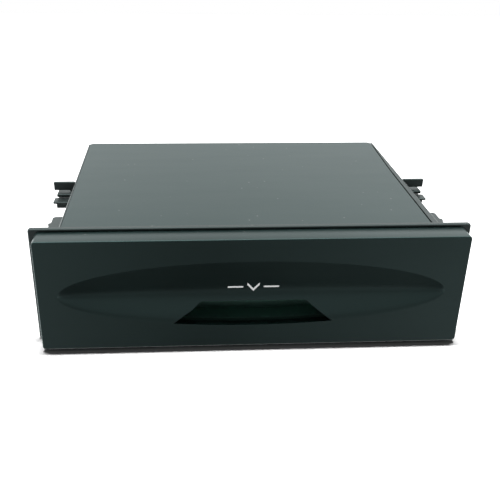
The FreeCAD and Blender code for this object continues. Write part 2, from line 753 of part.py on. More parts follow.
# -------------------------------------------------------------------- drawer
def panel_screw_places():
    """The six screws that hold the front panel to the tray: (X, Z)."""
    low = f"{MID} - panel_screw_rise"
    high = f"{MID} + panel_screw_rise"
    return [("-panel_screw_x", low), ("-panel_screw_x", high), ("panel_screw_x", low),
            ("panel_screw_x", high), ("-panel_screw_inner_x", high),
            ("panel_screw_inner_x", high)]


def recess_outline(sketch, grow="0", drop="0"):
    """Trapezoid whose lower edge follows the scoop, grown outward or dropped."""
    top_half = f"(recess_top_half + ({grow}) * {RECESS_TOP_GROWTH})"
    low_half = f"(recess_low_half + ({grow}) * {RECESS_LOW_GROWTH})"
    top = f"({MID} - recess_top_drop + ({grow}))"
    low = f"({MID} - recess_low_drop - ({grow}) - ({drop}))"
    sag = "(recess_mid_drop - recess_low_drop)"
    radius = f"(pow({low_half}; 2) + pow({sag}; 2)) / (2 * {sag})"
    outline(sketch, [(f"-{top_half}", top), (f"-{low_half}", low),
                     (low_half, low), (top_half, top)],
            {1: (radius, (ARC_GUESS, f"{low} - {sag}"))})


def make_front_panel():
    """Hollow moulded fascia with a lens-shaped scoop and an opening for fingers."""
    body = new_body("panel_moulding")
    face = sketch_on(body, "face", "XZ_Plane", PANEL_BACK)
    rectangle(face, "-panel_width / 2", "panel_width / 2",
              f"{MID} - panel_height / 2", f"{MID} + panel_height / 2")
    slab = pad(body, face, "panel_thick")
    rounded = fillet(body, slab, lambda p, d: abs(d.y) > 0.99, "panel_corner")
    front = number(PANEL_FACE)
    fillet(body, rounded, lambda p, d: abs(p.y - front) < 0.01, "panel_edge")

    # The scoop is cut by a long spindle that turns about an axis ahead of the face.
    reach = "((pow(scoop_half_height; 2) / scoop_deep - scoop_deep) / 2)"
    spindle = sketch_on(body, "spindle", "XY_Plane", MID)
    spindle.setExpression("AttachmentOffset.Base.y", dim(f"{PANEL_FACE} - {reach}"))
    doc.recompute()
    radius = "(pow(scoop_half_length; 2) + pow(scoop_deep; 2)) / (2 * scoop_deep)"
    outline(spindle, [("-scoop_half_length", ARC_GUESS), ("scoop_half_length", ARC_GUESS),
                      ("scoop_half_length", reach), ("-scoop_half_length", reach)],
            {2: (radius, (ARC_GUESS, f"{reach} + scoop_deep"))})
    before = body.Shape.Volume
    groove = body.newObject("PartDesign::Groove", "panel_scoop")
    groove.Profile = spindle
    groove.ReferenceAxis = (spindle, ["H_Axis"])
    groove.Angle = 360
    doc.recompute()
    if body.Shape.Volume > before - SCOOP_MINIMUM:
        raise RuntimeError("the scoop cut nothing")

    back = sketch_on(body, "hollow", "XZ_Plane", PANEL_BACK)
    rectangle(back, "-(panel_width / 2 - panel_wall)", "panel_width / 2 - panel_wall",
              f"{MID} - panel_height / 2 + panel_wall",
              f"{MID} + panel_height / 2 - panel_wall")
    pocket(body, back, f"{PANEL_BACK} - {PANEL_INNER}", backwards=True)
    lights = sketch_on(body, "edge_hollows", "XZ_Plane", PANEL_INNER)
    for s in ("-", "+"):
        near, far = across(s, "scoop_half_height + panel_step",
                           "panel_height / 2 - panel_wall")
        rectangle(lights, "-(panel_width / 2 - panel_wall)", "panel_width / 2 - panel_wall",
                  f"{MID} + {near}", f"{MID} + {far}")
    pocket(body, lights, "scoop_deep", backwards=True)
    opening = sketch_on(body, "opening", "XZ_Plane", PANEL_BACK)
    recess_outline(opening)
    pocket(body, opening, f"panel_thick + {OVERRUN}", backwards=True)
    relief = sketch_on(body, "lip_relief", "XZ_Plane", PANEL_INNER)
    recess_outline(relief, drop="lip_drop")
    pocket(body, relief, f"{PANEL_INNER} - {PANEL_FACE} - lip_thick", backwards=True)

    bosses = []
    pilots = []
    for k, (x, z) in enumerate(panel_screw_places()):
        bosses.append(rod(f"panel_boss_{k}", "panel_boss_radius",
                          f"{PANEL_BACK} - {PANEL_INNER} + panel_boss_root",
                          (x, f"{PANEL_INNER} - panel_boss_root", z), REARWARD))
        pilots.append(rod(f"panel_pilot_{k}", "panel_pilot_radius",
                          f"panel_pilot_deep + {OVERRUN}",
                          (x, f"{PANEL_BACK} - panel_pilot_deep", z), REARWARD))
    return cut("front_panel", fuse("panel_with_bosses", [body] + bosses), pilots)


def make_pull_cup():
    """Deep cup behind the opening that fingers pull on."""
    body = new_body("pull_cup")
    rim = sketch_on(body, "rim", "XZ_Plane", PANEL_INNER)
    recess_outline(rim, "cup_rim")
    pad(body, rim, "cup_rim_thick", backwards=True)
    outer = sketch_on(body, "outer", "XZ_Plane", PANEL_INNER)
    recess_outline(outer, "cup_wall")
    pad(body, outer, f"{FACE} + cup_reach - {PANEL_INNER}", backwards=True)
    inner = sketch_on(body, "inner", "XZ_Plane", PANEL_INNER)
    recess_outline(inner)
    pocket(body, inner, f"{FACE} + cup_reach - cup_wall - {PANEL_INNER}")
    return body


def make_drawer_tray():
    """Open tray with a front plate, glide ribs and a stop wall under its floor."""
    body = new_body("tray_moulding")
    base = sketch_on(body, "footprint", "XY_Plane", TRAY_FLOOR_LOW)
    rectangle(base, "-tray_half", "tray_half", PANEL_BACK, f"{FACE} + tray_rear")
    block_pad = pad(body, base, "tray_floor_drop + tray_top_rise")
    back = number(f"{FACE} + tray_rear")
    fillet(body, block_pad, lambda p, d: abs(d.z) > 0.99 and abs(p.y - back) < 0.01,
           "tray_rear_corner")

    plate = sketch_on(body, "front_plate", "XZ_Plane", PANEL_BACK)
    rectangle(plate, "-tray_front_half", "tray_front_half",
              f"{MID} - tray_front_drop", f"{MID} + tray_front_rise")
    pad(body, plate, "tray_wall + tray_plate_extra", backwards=True)

    inside = sketch_on(body, "inside", "XY_Plane", f"{MID} + tray_front_rise")
    rectangle(inside, "tray_wall - tray_half", "tray_half - tray_wall",
              TRAY_PLATE_BACK, f"{FACE} + tray_rear - tray_wall")
    hollow = pocket(body, inside, f"{MID} + tray_front_rise - {TRAY_FLOOR_TOP}")
    limit = number("tray_half - tray_wall")
    ends = (number(TRAY_PLATE_BACK), number(f"{FACE} + tray_rear - tray_wall"))
    corners = fillet(body, hollow, lambda p, d: abs(d.z) > 0.99
                     and abs(abs(p.x) - limit) < 0.01
                     and min(abs(p.y - e) for e in ends) < 0.01, "tray_corner")
    floor = number(TRAY_FLOOR_TOP)
    fillet(body, corners, lambda p, d: abs(p.z - floor) < 0.01
           and abs(p.x) < limit + 0.01, "tray_floor_radius")

    ribs = sketch_on(body, "glide_ribs", "XY_Plane", TRAY_FLOOR_LOW)
    rear = f"{FACE} + tray_rear - glide_rib"
    for inner in ("tongue_x - glide_inner", "tongue_x + glide_outer"):
        both_sides(ribs, inner, f"{inner} + glide_rib", f"{FACE} + glide_front", rear)
    both_sides(ribs, "tongue_x - glide_inner + glide_rib", "tongue_x + glide_outer",
               f"{rear} - stop_wall", rear)
    pad(body, ribs, "tray_foot", backwards=True)

    window = sketch_on(body, "cup_window", "XZ_Plane", PANEL_BACK)
    recess_outline(window, "cup_wall + cup_window_gap")
    pocket(body, window, "tray_wall + tray_plate_extra")
    holes = [rod(f"tray_screw_hole_{k}", "panel_clearance",
                 f"tray_wall + tray_plate_extra + 2 * {OVERRUN}",
                 (x, f"{PANEL_BACK} - {OVERRUN}", z), REARWARD)
             for k, (x, z) in enumerate(panel_screw_places())]
    return cut("drawer_tray", body, holes)


def make_runner(label, sign):
    """Low-friction strip on a tray wall that slides in the guide rail."""
    near, far = across(sign, "tray_half", "tray_half + runner_reach")
    strip = block(f"{label}_runner_strip",
                  (near, f"{FACE} + runner_front", f"{MID} - runner_half"),
                  (far, f"{FACE} + tray_rear - runner_end", f"{MID} + runner_half"))
    doc.recompute()
    chamfered = doc.addObject("Part::Chamfer", f"{label}_runner")
    chamfered.Base = strip
    x = number(far if sign == "+" else near)
    chosen = edges_where(strip.Shape, lambda p, d: abs(d.z) > 0.99 and abs(p.x - x) < 0.01)
    width = number("runner_chamfer")
    chamfered.Edges = [(int(edge.removeprefix("Edge")), width, width) for edge in chosen]
    return chamfered


def make_panel_screws():
    """Pan-head screws from inside the tray into the panel's bosses."""
    screws = []
    top = f"({TRAY_PLATE_BACK} + screw_play + panel_head_high)"
    for k, (x, z) in enumerate(panel_screw_places()):
        shank = rod(f"panel_screw_shank_{k}", "panel_shank_radius", "panel_shank_length",
                    (x, f"{TRAY_PLATE_BACK} + panel_shank_root - panel_shank_length", z),
                    REARWARD)
        head = rod(f"panel_screw_head_{k}", "panel_head_radius", "panel_head_high",
                   (x, f"{TRAY_PLATE_BACK} + screw_play", z), REARWARD)
        slots = cross_recess(
            f"panel_screw_{k}",
            lambda w, h, px, pz: (f"{px} - {w}", f"{top} - recess_deep", f"{pz} - {h}"),
            lambda w, h, px, pz: (f"{px} + {w}", f"{top} + {OVERRUN}", f"{pz} + {h}"),
            (x, z))
        screws.append(cut(f"panel_screw_{k}", fuse(f"panel_screw_blank_{k}",
                                                   [shank, head]), slots))
    return group("panel_screws", screws)


def make_tray_mat():
    """Ribbed anti-slip mat that lies on the tray floor."""
    body = new_body("tray_mat")
    sheet_outline = sketch_on(body, "outline", "XY_Plane", TRAY_FLOOR_TOP)
    edge = "tray_half - tray_wall - mat_inset"
    rectangle(sheet_outline, f"-({edge})", edge, f"{FACE} + cup_reach + mat_front_gap",
              f"{FACE} + tray_rear - tray_wall - mat_inset")
    slab = pad(body, sheet_outline, "mat_thick")
    fillet(body, slab, lambda p, d: abs(d.z) > 0.99, "tray_corner - mat_inset")
    return body


# ---------------------------------------------------------------- build, test
PARTS = {}


def keep(name, item):
    """File a finished sub-part under its node name."""
    item.Label = name
    PARTS[name] = item


keep("housing_shell", make_housing_shell())
keep("top_cover", make_top_cover())
keep("flange_frame", make_flange_frame())
for side, item in zip(("left", "right"), sides(make_mounting_lug)):
    keep(f"{side}_mounting_lug", item)
for side, item in zip(("left", "right"), sides(make_guide_rail)):
    keep(f"{side}_guide_rail", item)
for side, item in zip(("left", "right"), sides(make_stop_tongue)):
    keep(f"{side}_stop_tongue", item)
keep("flange_screws", make_flange_screws())
keep("lug_screws", make_lug_screws())
keep("side_inserts", make_side_inserts())
keep("rear_buffers", make_rear_buffers())
keep("drawer_tray", make_drawer_tray())
keep("front_panel", make_front_panel())
keep("pull_cup", make_pull_cup())
for side, item in zip(("left", "right"), sides(make_runner)):
    keep(f"{side}_runner", item)
keep("panel_screws", make_panel_screws())
keep("tray_mat", make_tray_mat())
doc.recompute()

for item in doc.Objects:
    if "Invalid" in item.State or "Error" in item.State:
        raise RuntimeError(f"{item.Name} failed: {item.State}")
os.makedirs("parts", exist_ok=True)
for name, item in PARTS.items():
    shape = item.Shape
    if shape.isNull() or not shape.isValid() or not shape.Solids:
        raise RuntimeError(f"{name} has no valid solid")
    shape.exportStep(f"parts/{name}.step")
    box = shape.BoundBox
    print(f"{name:22s} solids {len(shape.Solids)} volume {shape.Volume:9.1f} "
          f"X {box.XMin:7.2f} {box.XMax:7.2f} Y {box.YMin:7.2f} {box.YMax:7.2f} "
          f"Z {box.ZMin:6.2f} {box.ZMax:6.2f}")
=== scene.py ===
"""Looks of the dashboard storage drawer box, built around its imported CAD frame.

Every length is in metres and every position is in the row frame: X across the
unit, Y from the drawer front to the rear wall, Z up.
"""
from __future__ import annotations

import logging
import math
from dataclasses import dataclass, field
from enum import Enum
from typing import Any, Callable, Iterable, Sequence

import bmesh
import bpy
from mathutils import Matrix, Vector

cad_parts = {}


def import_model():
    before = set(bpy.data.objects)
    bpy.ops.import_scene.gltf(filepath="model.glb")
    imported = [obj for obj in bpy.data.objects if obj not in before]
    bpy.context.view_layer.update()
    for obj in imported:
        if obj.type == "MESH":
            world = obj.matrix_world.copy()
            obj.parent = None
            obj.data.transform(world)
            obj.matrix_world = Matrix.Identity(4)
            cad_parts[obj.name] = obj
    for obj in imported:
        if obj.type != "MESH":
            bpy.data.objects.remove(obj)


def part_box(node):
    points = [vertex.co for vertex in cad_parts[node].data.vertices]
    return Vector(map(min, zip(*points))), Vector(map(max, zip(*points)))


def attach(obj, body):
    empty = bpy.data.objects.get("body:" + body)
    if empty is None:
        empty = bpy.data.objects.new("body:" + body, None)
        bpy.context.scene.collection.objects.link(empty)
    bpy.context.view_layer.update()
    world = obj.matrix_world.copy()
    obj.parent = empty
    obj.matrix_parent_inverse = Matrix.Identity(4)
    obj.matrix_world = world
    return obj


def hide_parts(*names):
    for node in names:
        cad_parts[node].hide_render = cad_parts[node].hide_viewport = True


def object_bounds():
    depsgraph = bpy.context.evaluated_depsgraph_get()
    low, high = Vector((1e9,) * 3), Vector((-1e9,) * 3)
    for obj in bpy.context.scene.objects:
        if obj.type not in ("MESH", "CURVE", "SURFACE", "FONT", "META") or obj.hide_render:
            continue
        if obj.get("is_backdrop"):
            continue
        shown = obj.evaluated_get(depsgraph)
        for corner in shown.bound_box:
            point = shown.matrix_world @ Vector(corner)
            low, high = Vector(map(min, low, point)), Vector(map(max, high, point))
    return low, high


LOG = logging.getLogger("drawer_box")
MM = 0.001
EDGE_ATTRIBUTE = "edge_round"
WELD = 1e-6             # corners closer than this are one corner
FLAT_MERGE_DEG = 0.4    # faces flatter than this to each other become one
SCOOP_REACH = 0.994     # share of the scoop's half length that its cutter covers
SCOOP_OVERLAP = 1.04    # how far the cutter passes the scoop's outline
WHITE = (1.0, 1.0, 1.0, 1.0)
SOCKET_TYPES = {float: "NodeSocketFloat", int: "NodeSocketInt", type(None): "NodeSocketVector"}

Colour = tuple[float, float, float]


def opaque(colour: Colour, gain: float = 1.0, lift: float = 0.0) -> tuple[float, ...]:
    """Scale and lift a colour, keep it below 1 and add full alpha."""
    return (*(min(1.0, c * gain + lift) for c in colour), 1.0)


# --------------------------------------------------------------- node graphs
class Graph:
    """Short-hand for filling a node tree in reading order."""

    def __init__(self, tree: bpy.types.NodeTree) -> None:
        """Keep the tree that the calls below fill.

        Args:
            tree: A material's tree, a shader group or a geometry tree.
        """
        self.tree = tree

    def feed(self, socket: bpy.types.NodeSocket, value: Any) -> None:
        """Link a socket, or set its value.

        Args:
            socket: The input to fill.
            value: An output socket to link, or a plain value.
        """
        if isinstance(value, bpy.types.NodeSocket):
            self.tree.links.new(value, socket)
        elif value is not None:
            socket.default_value = value

    def add(self, kind: str, inputs: dict[int | str, Any] | None = None,
            **settings: Any) -> bpy.types.Node:
        """Add one node.

        Args:
            kind: The node's type name.
            inputs: Socket number or name, and what it gets.
            settings: The node's own properties.

        Returns:
            The new node.
        """
        node = self.tree.nodes.new(kind)
        for name, value in settings.items():
            setattr(node, name, value)
        for key, value in (inputs or {}).items():
            self.feed(node.inputs[key], value)
        return node

    def math(self, operation: str, *values: Any, clamp: bool = False) -> bpy.types.NodeSocket:
        """Add a scalar operation.

        Args:
            operation: Name of the operation, such as MULTIPLY.
            values: Its inputs in order.
            clamp: Keep the result between 0 and 1.

        Returns:
            The result's socket.
        """
        node = self.add("ShaderNodeMath", dict(enumerate(values)), operation=operation)
        node.use_clamp = clamp
        return node.outputs[0]

    def times(self, one: Any, other: Any, clamp: bool = False) -> bpy.types.NodeSocket:
        """Multiply two values and return the result's socket."""
        return self.math("MULTIPLY", one, other, clamp=clamp)

    def plus(self, one: Any, other: Any, clamp: bool = False) -> bpy.types.NodeSocket:
        """Add two values and return the result's socket."""
        return self.math("ADD", one, other, clamp=clamp)

    def minus(self, one: Any, other: Any) -> bpy.types.NodeSocket:
        """Subtract the second value from the first and return the result's socket."""
        return self.math("SUBTRACT", one, other)

    def joined(self, *parts: Any) -> bpy.types.NodeSocket:
        """Join geometries in order and return the result's socket."""
        node = self.add("GeometryNodeJoinGeometry")
        for part in parts:
            self.feed(node.inputs[0], part.outputs[0])
        return node.outputs[0]

    def difference(self, whole: Any, cutter: Any) -> bpy.types.Node:
        """Cut one geometry out of another and return the node."""
        return self.add("GeometryNodeMeshBoolean", {0: whole, 1: cutter},
                        operation="DIFFERENCE", solver="EXACT")

    def bump(self, surface: bpy.types.Node, height: Any, strength: float, reach: float) -> None:
        """Give a surface a bump.

        Args:
            surface: The Principled node.
            height: Socket with the height.
            strength: How strongly the bump shows.
            reach: Its height in metres.
        """
        node = self.add("ShaderNodeBump", {"Strength": strength, "Distance": reach,
                                           "Height": height})
        self.feed(surface.inputs["Normal"], node.outputs[0])

    def ramp(self, value: Any, low: float, high: float,
             to_low: float = 0.0, to_high: float = 1.0) -> bpy.types.NodeSocket:
        """Map a range of a value smoothly to another range.

        Args:
            value: The socket to map.
            low: Where the result starts to change.
            high: Where it stops changing.
            to_low: Result at and below low.
            to_high: Result at and above high.

        Returns:
            The mapped value's socket.
        """
        node = self.add("ShaderNodeMapRange", {0: value, 1: low, 2: high, 3: to_low, 4: to_high},
                        interpolation_type="SMOOTHSTEP")
        return node.outputs[0]

    def vector(self, x: Any = 0.0, y: Any = 0.0, z: Any = 0.0) -> bpy.types.NodeSocket:
        """Join three values into a vector and return its socket."""
        return self.add("ShaderNodeCombineXYZ", {0: x, 1: y, 2: z}).outputs[0]

    def mix(self, share: Any, first: Any, second: Any) -> bpy.types.NodeSocket:
        """Blend two colours.

        Args:
            share: How much of the second colour shows.
            first: Colour at share 0, as a socket or four numbers.
            second: Colour at share 1.

        Returns:
            The blended colour's socket.
        """
        node = self.add("ShaderNodeMix", {0: share, 6: first, 7: second}, data_type="RGBA")
        return node.outputs[2]


def new_group(name: str, kind: str, inputs: dict[str, Any],
              outputs: Sequence[str]) -> tuple[Graph, bpy.types.Node, bpy.types.Node]:
    """Start a node group with named inputs and outputs.

    Args:
        name: The group's name.
        kind: ShaderNodeTree or GeometryNodeTree.
        inputs: Input name to its default, or to a socket type. None is a vector.
        outputs: Names of the outputs, Geometry or plain values.

    Returns:
        The graph, its input node and its output node.
    """
    tree = bpy.data.node_groups.new(name, kind)
    for label, default in inputs.items():
        named = isinstance(default, str)
        socket = tree.interface.new_socket(
            label, in_out="INPUT", socket_type=default if named else SOCKET_TYPES[type(default)])
        if default is not None and not named:
            socket.default_value = default
    for label in outputs:
        socket_type = "NodeSocketGeometry" if label == "Geometry" else "NodeSocketFloat"
        tree.interface.new_socket(label, in_out="OUTPUT", socket_type=socket_type)
    graph = Graph(tree)
    return graph, graph.add("NodeGroupInput"), graph.add("NodeGroupOutput")


def new_tree(name: str, inputs: dict[str, Any]) -> tuple[Graph, bpy.types.Node, bpy.types.Node]:
    """Start a geometry tree that takes and gives Geometry and takes a Material."""
    return new_group(name, "GeometryNodeTree", {
        "Geometry": "NodeSocketGeometry", **inputs, "Material": "NodeSocketMaterial"},
        ["Geometry"])


# ----------------------------------------------------------- shader groups
class ShaderKit:
    """The shader groups that the finishes share, each built once."""

    def __init__(self) -> None:
        """Build every group."""
        self.grain = self._grain()
        self.drift = self._drift()
        self.wear = self._wear()
        self.dust = self._dust()

    @staticmethod
    def _grain() -> bpy.types.NodeTree:
        """Fine moulded grain.

        Returns:
            A group that puts out a height for a bump and a speckle mask.
        """
        graph, given, result = new_group(
            "moulded_grain", "ShaderNodeTree",
            {"Position": None, "Cells per metre": 2600.0,
             "Coarse share": 0.35},
            ["Height", "Speckle"])
        fine = graph.add("ShaderNodeTexNoise", {
            "Vector": given.outputs["Position"], "Scale": given.outputs["Cells per metre"],
            "Detail": 3.0, "Roughness": 0.6})
        coarse_scale = graph.times(given.outputs["Cells per metre"], 0.22)
        coarse = graph.add("ShaderNodeTexVoronoi", {
            "Vector": given.outputs["Position"], "Scale": coarse_scale}, feature="SMOOTH_F1")
        share = given.outputs["Coarse share"]
        height = graph.plus(graph.times(coarse.outputs["Distance"], share),
                            graph.times(fine.outputs[0], graph.minus(1.0, share)))
        graph.feed(result.inputs["Height"], height)
        graph.feed(result.inputs["Speckle"], graph.ramp(fine.outputs[0], 0.52, 0.72))
        return graph.tree

    @staticmethod
    def _drift() -> bpy.types.NodeTree:
        """Slow change over a moulding: flow marks and handling.

        Returns:
            A group that puts out a broad and a streaky value from 0 to 1.
        """
        graph, given, result = new_group(
            "moulding_drift", "ShaderNodeTree",
            {"Position": None, "Patches per metre": 14.0},
            ["Broad", "Streak"])
        broad = graph.add("ShaderNodeTexNoise", {
            "Vector": given.outputs["Position"], "Scale": given.outputs["Patches per metre"],
            "Detail": 2.0, "Roughness": 0.5})
        stretched = graph.add("ShaderNodeMapping", {
            "Vector": given.outputs["Position"], "Scale": (0.18, 1.0, 1.6)})
        streak = graph.add("ShaderNodeTexNoise", {
            "Vector": stretched.outputs[0], "Detail": 4.0,
            "Scale": graph.times(given.outputs["Patches per metre"], 9.0)})
        graph.feed(result.inputs["Broad"], graph.ramp(broad.outputs[0], 0.3, 0.7))
        graph.feed(result.inputs["Streak"], graph.ramp(streak.outputs[0], 0.35, 0.75))
        return graph.tree

    @staticmethod
    def _wear() -> bpy.types.NodeTree:
        """Polish along rounded edges, broken up by noise; on the plastics it also serves as a
        painted highlight.

        Returns:
            A group that puts out a mask from 0 to 1.
        """
        graph, given, result = new_group(
            "edge_polish", "ShaderNodeTree",
            {"Position": None, "Amount": 0.6},
            ["Mask"])
        edge = graph.add("ShaderNodeAttribute", attribute_name=EDGE_ATTRIBUTE)
        patchy = graph.add("ShaderNodeTexNoise", {
            "Vector": given.outputs["Position"], "Scale": 210.0, "Detail": 3.0})
        worn_and_highlit = graph.times(edge.outputs["Fac"],
                           graph.ramp(patchy.outputs[0], 0.38, 0.62, 0.35, 1.0))
        graph.feed(result.inputs["Mask"], graph.times(worn_and_highlit, given.outputs["Amount"], clamp=True))
        return graph.tree

    @staticmethod
    def _dust() -> bpy.types.NodeTree:
        """Sparse dust specks that lie on faces that look up.

        Returns:
            A group that puts out a mask from 0 to 1.
        """
        graph, given, result = new_group(
            "settled_dust", "ShaderNodeTree",
            {"Position": None, "Specks per metre": 260.0,
             "Amount": 0.5},
            ["Mask"])
        cells = graph.add("ShaderNodeTexVoronoi", {
            "Vector": given.outputs["Position"], "Scale": given.outputs["Specks per metre"],
            "Randomness": 1.0})
        speck = graph.ramp(cells.outputs["Distance"], 0.05, 0.13, 1.0, 0.0)
        lottery = graph.add("ShaderNodeSeparateColor", {0: cells.outputs["Color"]})
        chosen = graph.ramp(lottery.outputs[0], 0.80, 0.84)
        facing = graph.add("ShaderNodeSeparateXYZ", {
            0: graph.add("ShaderNodeNewGeometry").outputs["Normal"]})
        upward = graph.ramp(facing.outputs["Z"], 0.5, 0.9)
        mask = graph.times(graph.times(speck, chosen), upward)
        graph.feed(result.inputs["Mask"], graph.times(mask, given.outputs["Amount"], clamp=True))
        return graph.tree


def use_group(graph: Graph, group: bpy.types.NodeTree, position: Any,
              values: dict[str, Any] | None = None) -> bpy.types.Node:
    """Place a shader group in a material.

    Args:
        graph: The material's graph.
        group: The group to place.
        position: Socket with the pattern's coordinates.
        values: Its other inputs by name.

    Returns:
        The group's node.
    """
    node = graph.add("ShaderNodeGroup", node_tree=group)
    graph.feed(node.inputs["Position"], position)
    for name, value in (values or {}).items():
        graph.feed(node.inputs[name], value)
    return node


# ------------------------------------------------------------------ finishes
def new_material(name: str) -> tuple[bpy.types.Material, Graph, bpy.types.Node, Any]:
    """Start a material with an empty Principled surface.

    Args:
        name: The material's name.

    Returns:
        The material, its graph, the Principled node and the object coordinates.
    """
    material = bpy.data.materials.new(name)
    material.use_nodes = True
    material.node_tree.nodes.clear()
    graph = Graph(material.node_tree)
    surface = graph.add("ShaderNodeBsdfPrincipled")
    output = graph.add("ShaderNodeOutputMaterial")
    graph.feed(output.inputs["Surface"], surface.outputs[0])
    place = graph.add("ShaderNodeTexCoord").outputs["Object"]
    return material, graph, surface, place


@dataclass(frozen=True)
class MouldedPlastic:
    """Injection-moulded plastic with grain, drift, edge polish that is also a painted highlight,
    and dust.
    """

    name: str
    slot: str
    colour: Colour
    roughness: float = 0.42
    specular: float = 0.5
    grain_cells: float = 2600.0
    grain_depth: float = 0.25
    grain_coarse: float = 0.35
    drift: float = 0.25
    # The edge mask's amount and lift lighten rounded edges: part polish wear, part painted
    # highlight.
    polish: float = 0.6
    polish_lift: float = 3.0
    dust: float = 0.25
    sheen: Colour = (0.70, 1.0, 0.98)
    grain_reach: float = 0.06 * MM
    drift_lift: float = 0.002
    speckle_share: float = 0.35
    speckle_rough: float = 0.03
    streak_rough: float = 0.12
    polish_smooth: float = 0.10
    dust_rough: float = 0.4
    dust_colour: Colour = (0.42, 0.43, 0.42)

    def build(self, kit: ShaderKit) -> bpy.types.Material:
        """Make the material.

        Args:
            kit: The shared shader groups.

        Returns:
            The finished material.
        """
        material, graph, surface, place = new_material(self.name)
        grain = use_group(graph, kit.grain, place, {
            "Cells per metre": self.grain_cells, "Coarse share": self.grain_coarse})
        drift = use_group(graph, kit.drift, place)
        wear = use_group(graph, kit.wear, place, {"Amount": self.polish})
        dust = use_group(graph, kit.dust, place, {"Amount": self.dust})
        speckle, streak = grain.outputs["Speckle"], drift.outputs["Streak"]
        worn_and_highlit, dusty = wear.outputs["Mask"], dust.outputs["Mask"]
        light = opaque(self.colour, 1.0 + self.drift, self.drift_lift * self.drift)
        colour = graph.mix(drift.outputs["Broad"], opaque(self.colour), light)
        colour = graph.mix(graph.times(speckle, self.speckle_share), colour, light)
        # Lighter rounded edges: part polish wear, part painted highlight.
        colour = graph.mix(worn_and_highlit, colour, opaque(self.colour, self.polish_lift))
        colour = graph.mix(dusty, colour, opaque(self.dust_colour))
        graph.feed(surface.inputs["Base Color"], colour)
        middle = self.roughness - 0.5 * self.drift * self.streak_rough
        rough = graph.plus(middle, graph.times(streak, self.streak_rough * self.drift))
        rough = graph.plus(rough, graph.times(speckle, self.speckle_rough))
        rough = graph.minus(rough, graph.times(worn_and_highlit, self.polish_smooth))
        rough = graph.plus(rough, graph.times(dusty, self.dust_rough), clamp=True)
        graph.feed(surface.inputs["Roughness"], rough)
        graph.bump(surface, grain.outputs["Height"], self.grain_depth, self.grain_reach)
        surface.inputs["Specular IOR Level"].default_value = self.specular
        surface.inputs["Specular Tint"].default_value = opaque(self.sheen)
        return material


@dataclass(frozen=True)
class Rubber:
    """Soft matte rubber with a fine pitted surface."""

    name: str
    slot: str
    colour: Colour = (0.018, 0.018, 0.019)
    roughness: float = 0.72
    speckle_rough: float = 0.12
    chalk: float = 1.8
    dust_colour: Colour = (0.35, 0.35, 0.34)
    specular: float = 0.35
    pit_depth: float = 0.5
    pit_reach: float = 0.1 * MM

    def build(self, kit: ShaderKit) -> bpy.types.Material:
        """Make the material.

        Args:
            kit: The shared shader groups.

        Returns:
            The finished material.
        """
        material, graph, surface, place = new_material(self.name)
        grain = use_group(graph, kit.grain, place, {
            "Cells per metre": 1500.0, "Coarse share": 0.6})
        drift = use_group(graph, kit.drift, place, {"Patches per metre": 30.0})
        dust = use_group(graph, kit.dust, place, {"Specks per metre": 420.0, "Amount": 0.3})
        colour = graph.mix(drift.outputs["Broad"], opaque(self.colour),
                           opaque(self.colour, self.chalk))
        colour = graph.mix(dust.outputs["Mask"], colour, opaque(self.dust_colour))
        graph.feed(surface.inputs["Base Color"], colour)
        graph.feed(surface.inputs["Roughness"], graph.plus(
            self.roughness, graph.times(grain.outputs["Speckle"], self.speckle_rough)))
        graph.bump(surface, grain.outputs["Height"], self.pit_depth, self.pit_reach)
        surface.inputs["Specular IOR Level"].default_value = self.specular
        return material


@dataclass(frozen=True)
class Metal:
    """Turned or plated metal with fine machining lines."""

    name: str
    slot: str
    colour: Colour
    roughness: float = 0.35
    plated: bool = False
    shadow: float = 0.6
    streak_rough: float = 0.15
    line_depth: float = 0.2
    line_reach: float = 0.04 * MM

    @property
    def rub_gain(self) -> float:
        """How much brighter rubbed edges are: plating wears through to steel."""
        return 2.6 if self.plated else 1.25

    def build(self, kit: ShaderKit) -> bpy.types.Material:
        """Make the material.

        Args:
            kit: The shared shader groups.

        Returns:
            The finished material.
        """
        material, graph, surface, place = new_material(self.name)
        grain = use_group(graph, kit.grain, place, {
            "Cells per metre": 5200.0, "Coarse share": 0.1})
        drift = use_group(graph, kit.drift, place, {"Patches per metre": 160.0})
        wear = use_group(graph, kit.wear, place, {"Amount": 0.8})
        colour = graph.mix(drift.outputs["Broad"], opaque(self.colour, self.shadow),
                           opaque(self.colour))
        colour = graph.mix(wear.outputs["Mask"], colour, opaque(self.colour, self.rub_gain))
        graph.feed(surface.inputs["Base Color"], colour)
        graph.feed(surface.inputs["Roughness"], graph.plus(
            self.roughness, graph.times(drift.outputs["Streak"], self.streak_rough)))
        graph.bump(surface, grain.outputs["Height"], self.line_depth, self.line_reach)
        surface.inputs["Metallic"].default_value = 0.9 if self.plated else 1.0
        return material


@dataclass(frozen=True)
class PrintedInk:
    """Pad-printed ink, slightly uneven where the pad left it thin."""

    name: str
    slot: str
    colour: Colour = (0.52, 0.53, 0.53)
    roughness: float = 0.5
    thin_gain: float = 0.72
    thin_rough: float = 0.1

    def build(self, kit: ShaderKit) -> bpy.types.Material:
        """Make the material.

        Args:
            kit: The shared shader groups.

        Returns:
            The finished material.
        """
        material, graph, surface, place = new_material(self.name)
        grain = use_group(graph, kit.grain, place, {
            "Cells per metre": 3200.0, "Coarse share": 0.2})
        speckle = grain.outputs["Speckle"]
        graph.feed(surface.inputs["Base Color"], graph.mix(
            speckle, opaque(self.colour), opaque(self.colour, self.thin_gain)))
        graph.feed(surface.inputs["Roughness"], graph.plus(
            self.roughness, graph.times(speckle, self.thin_rough)))
        return material


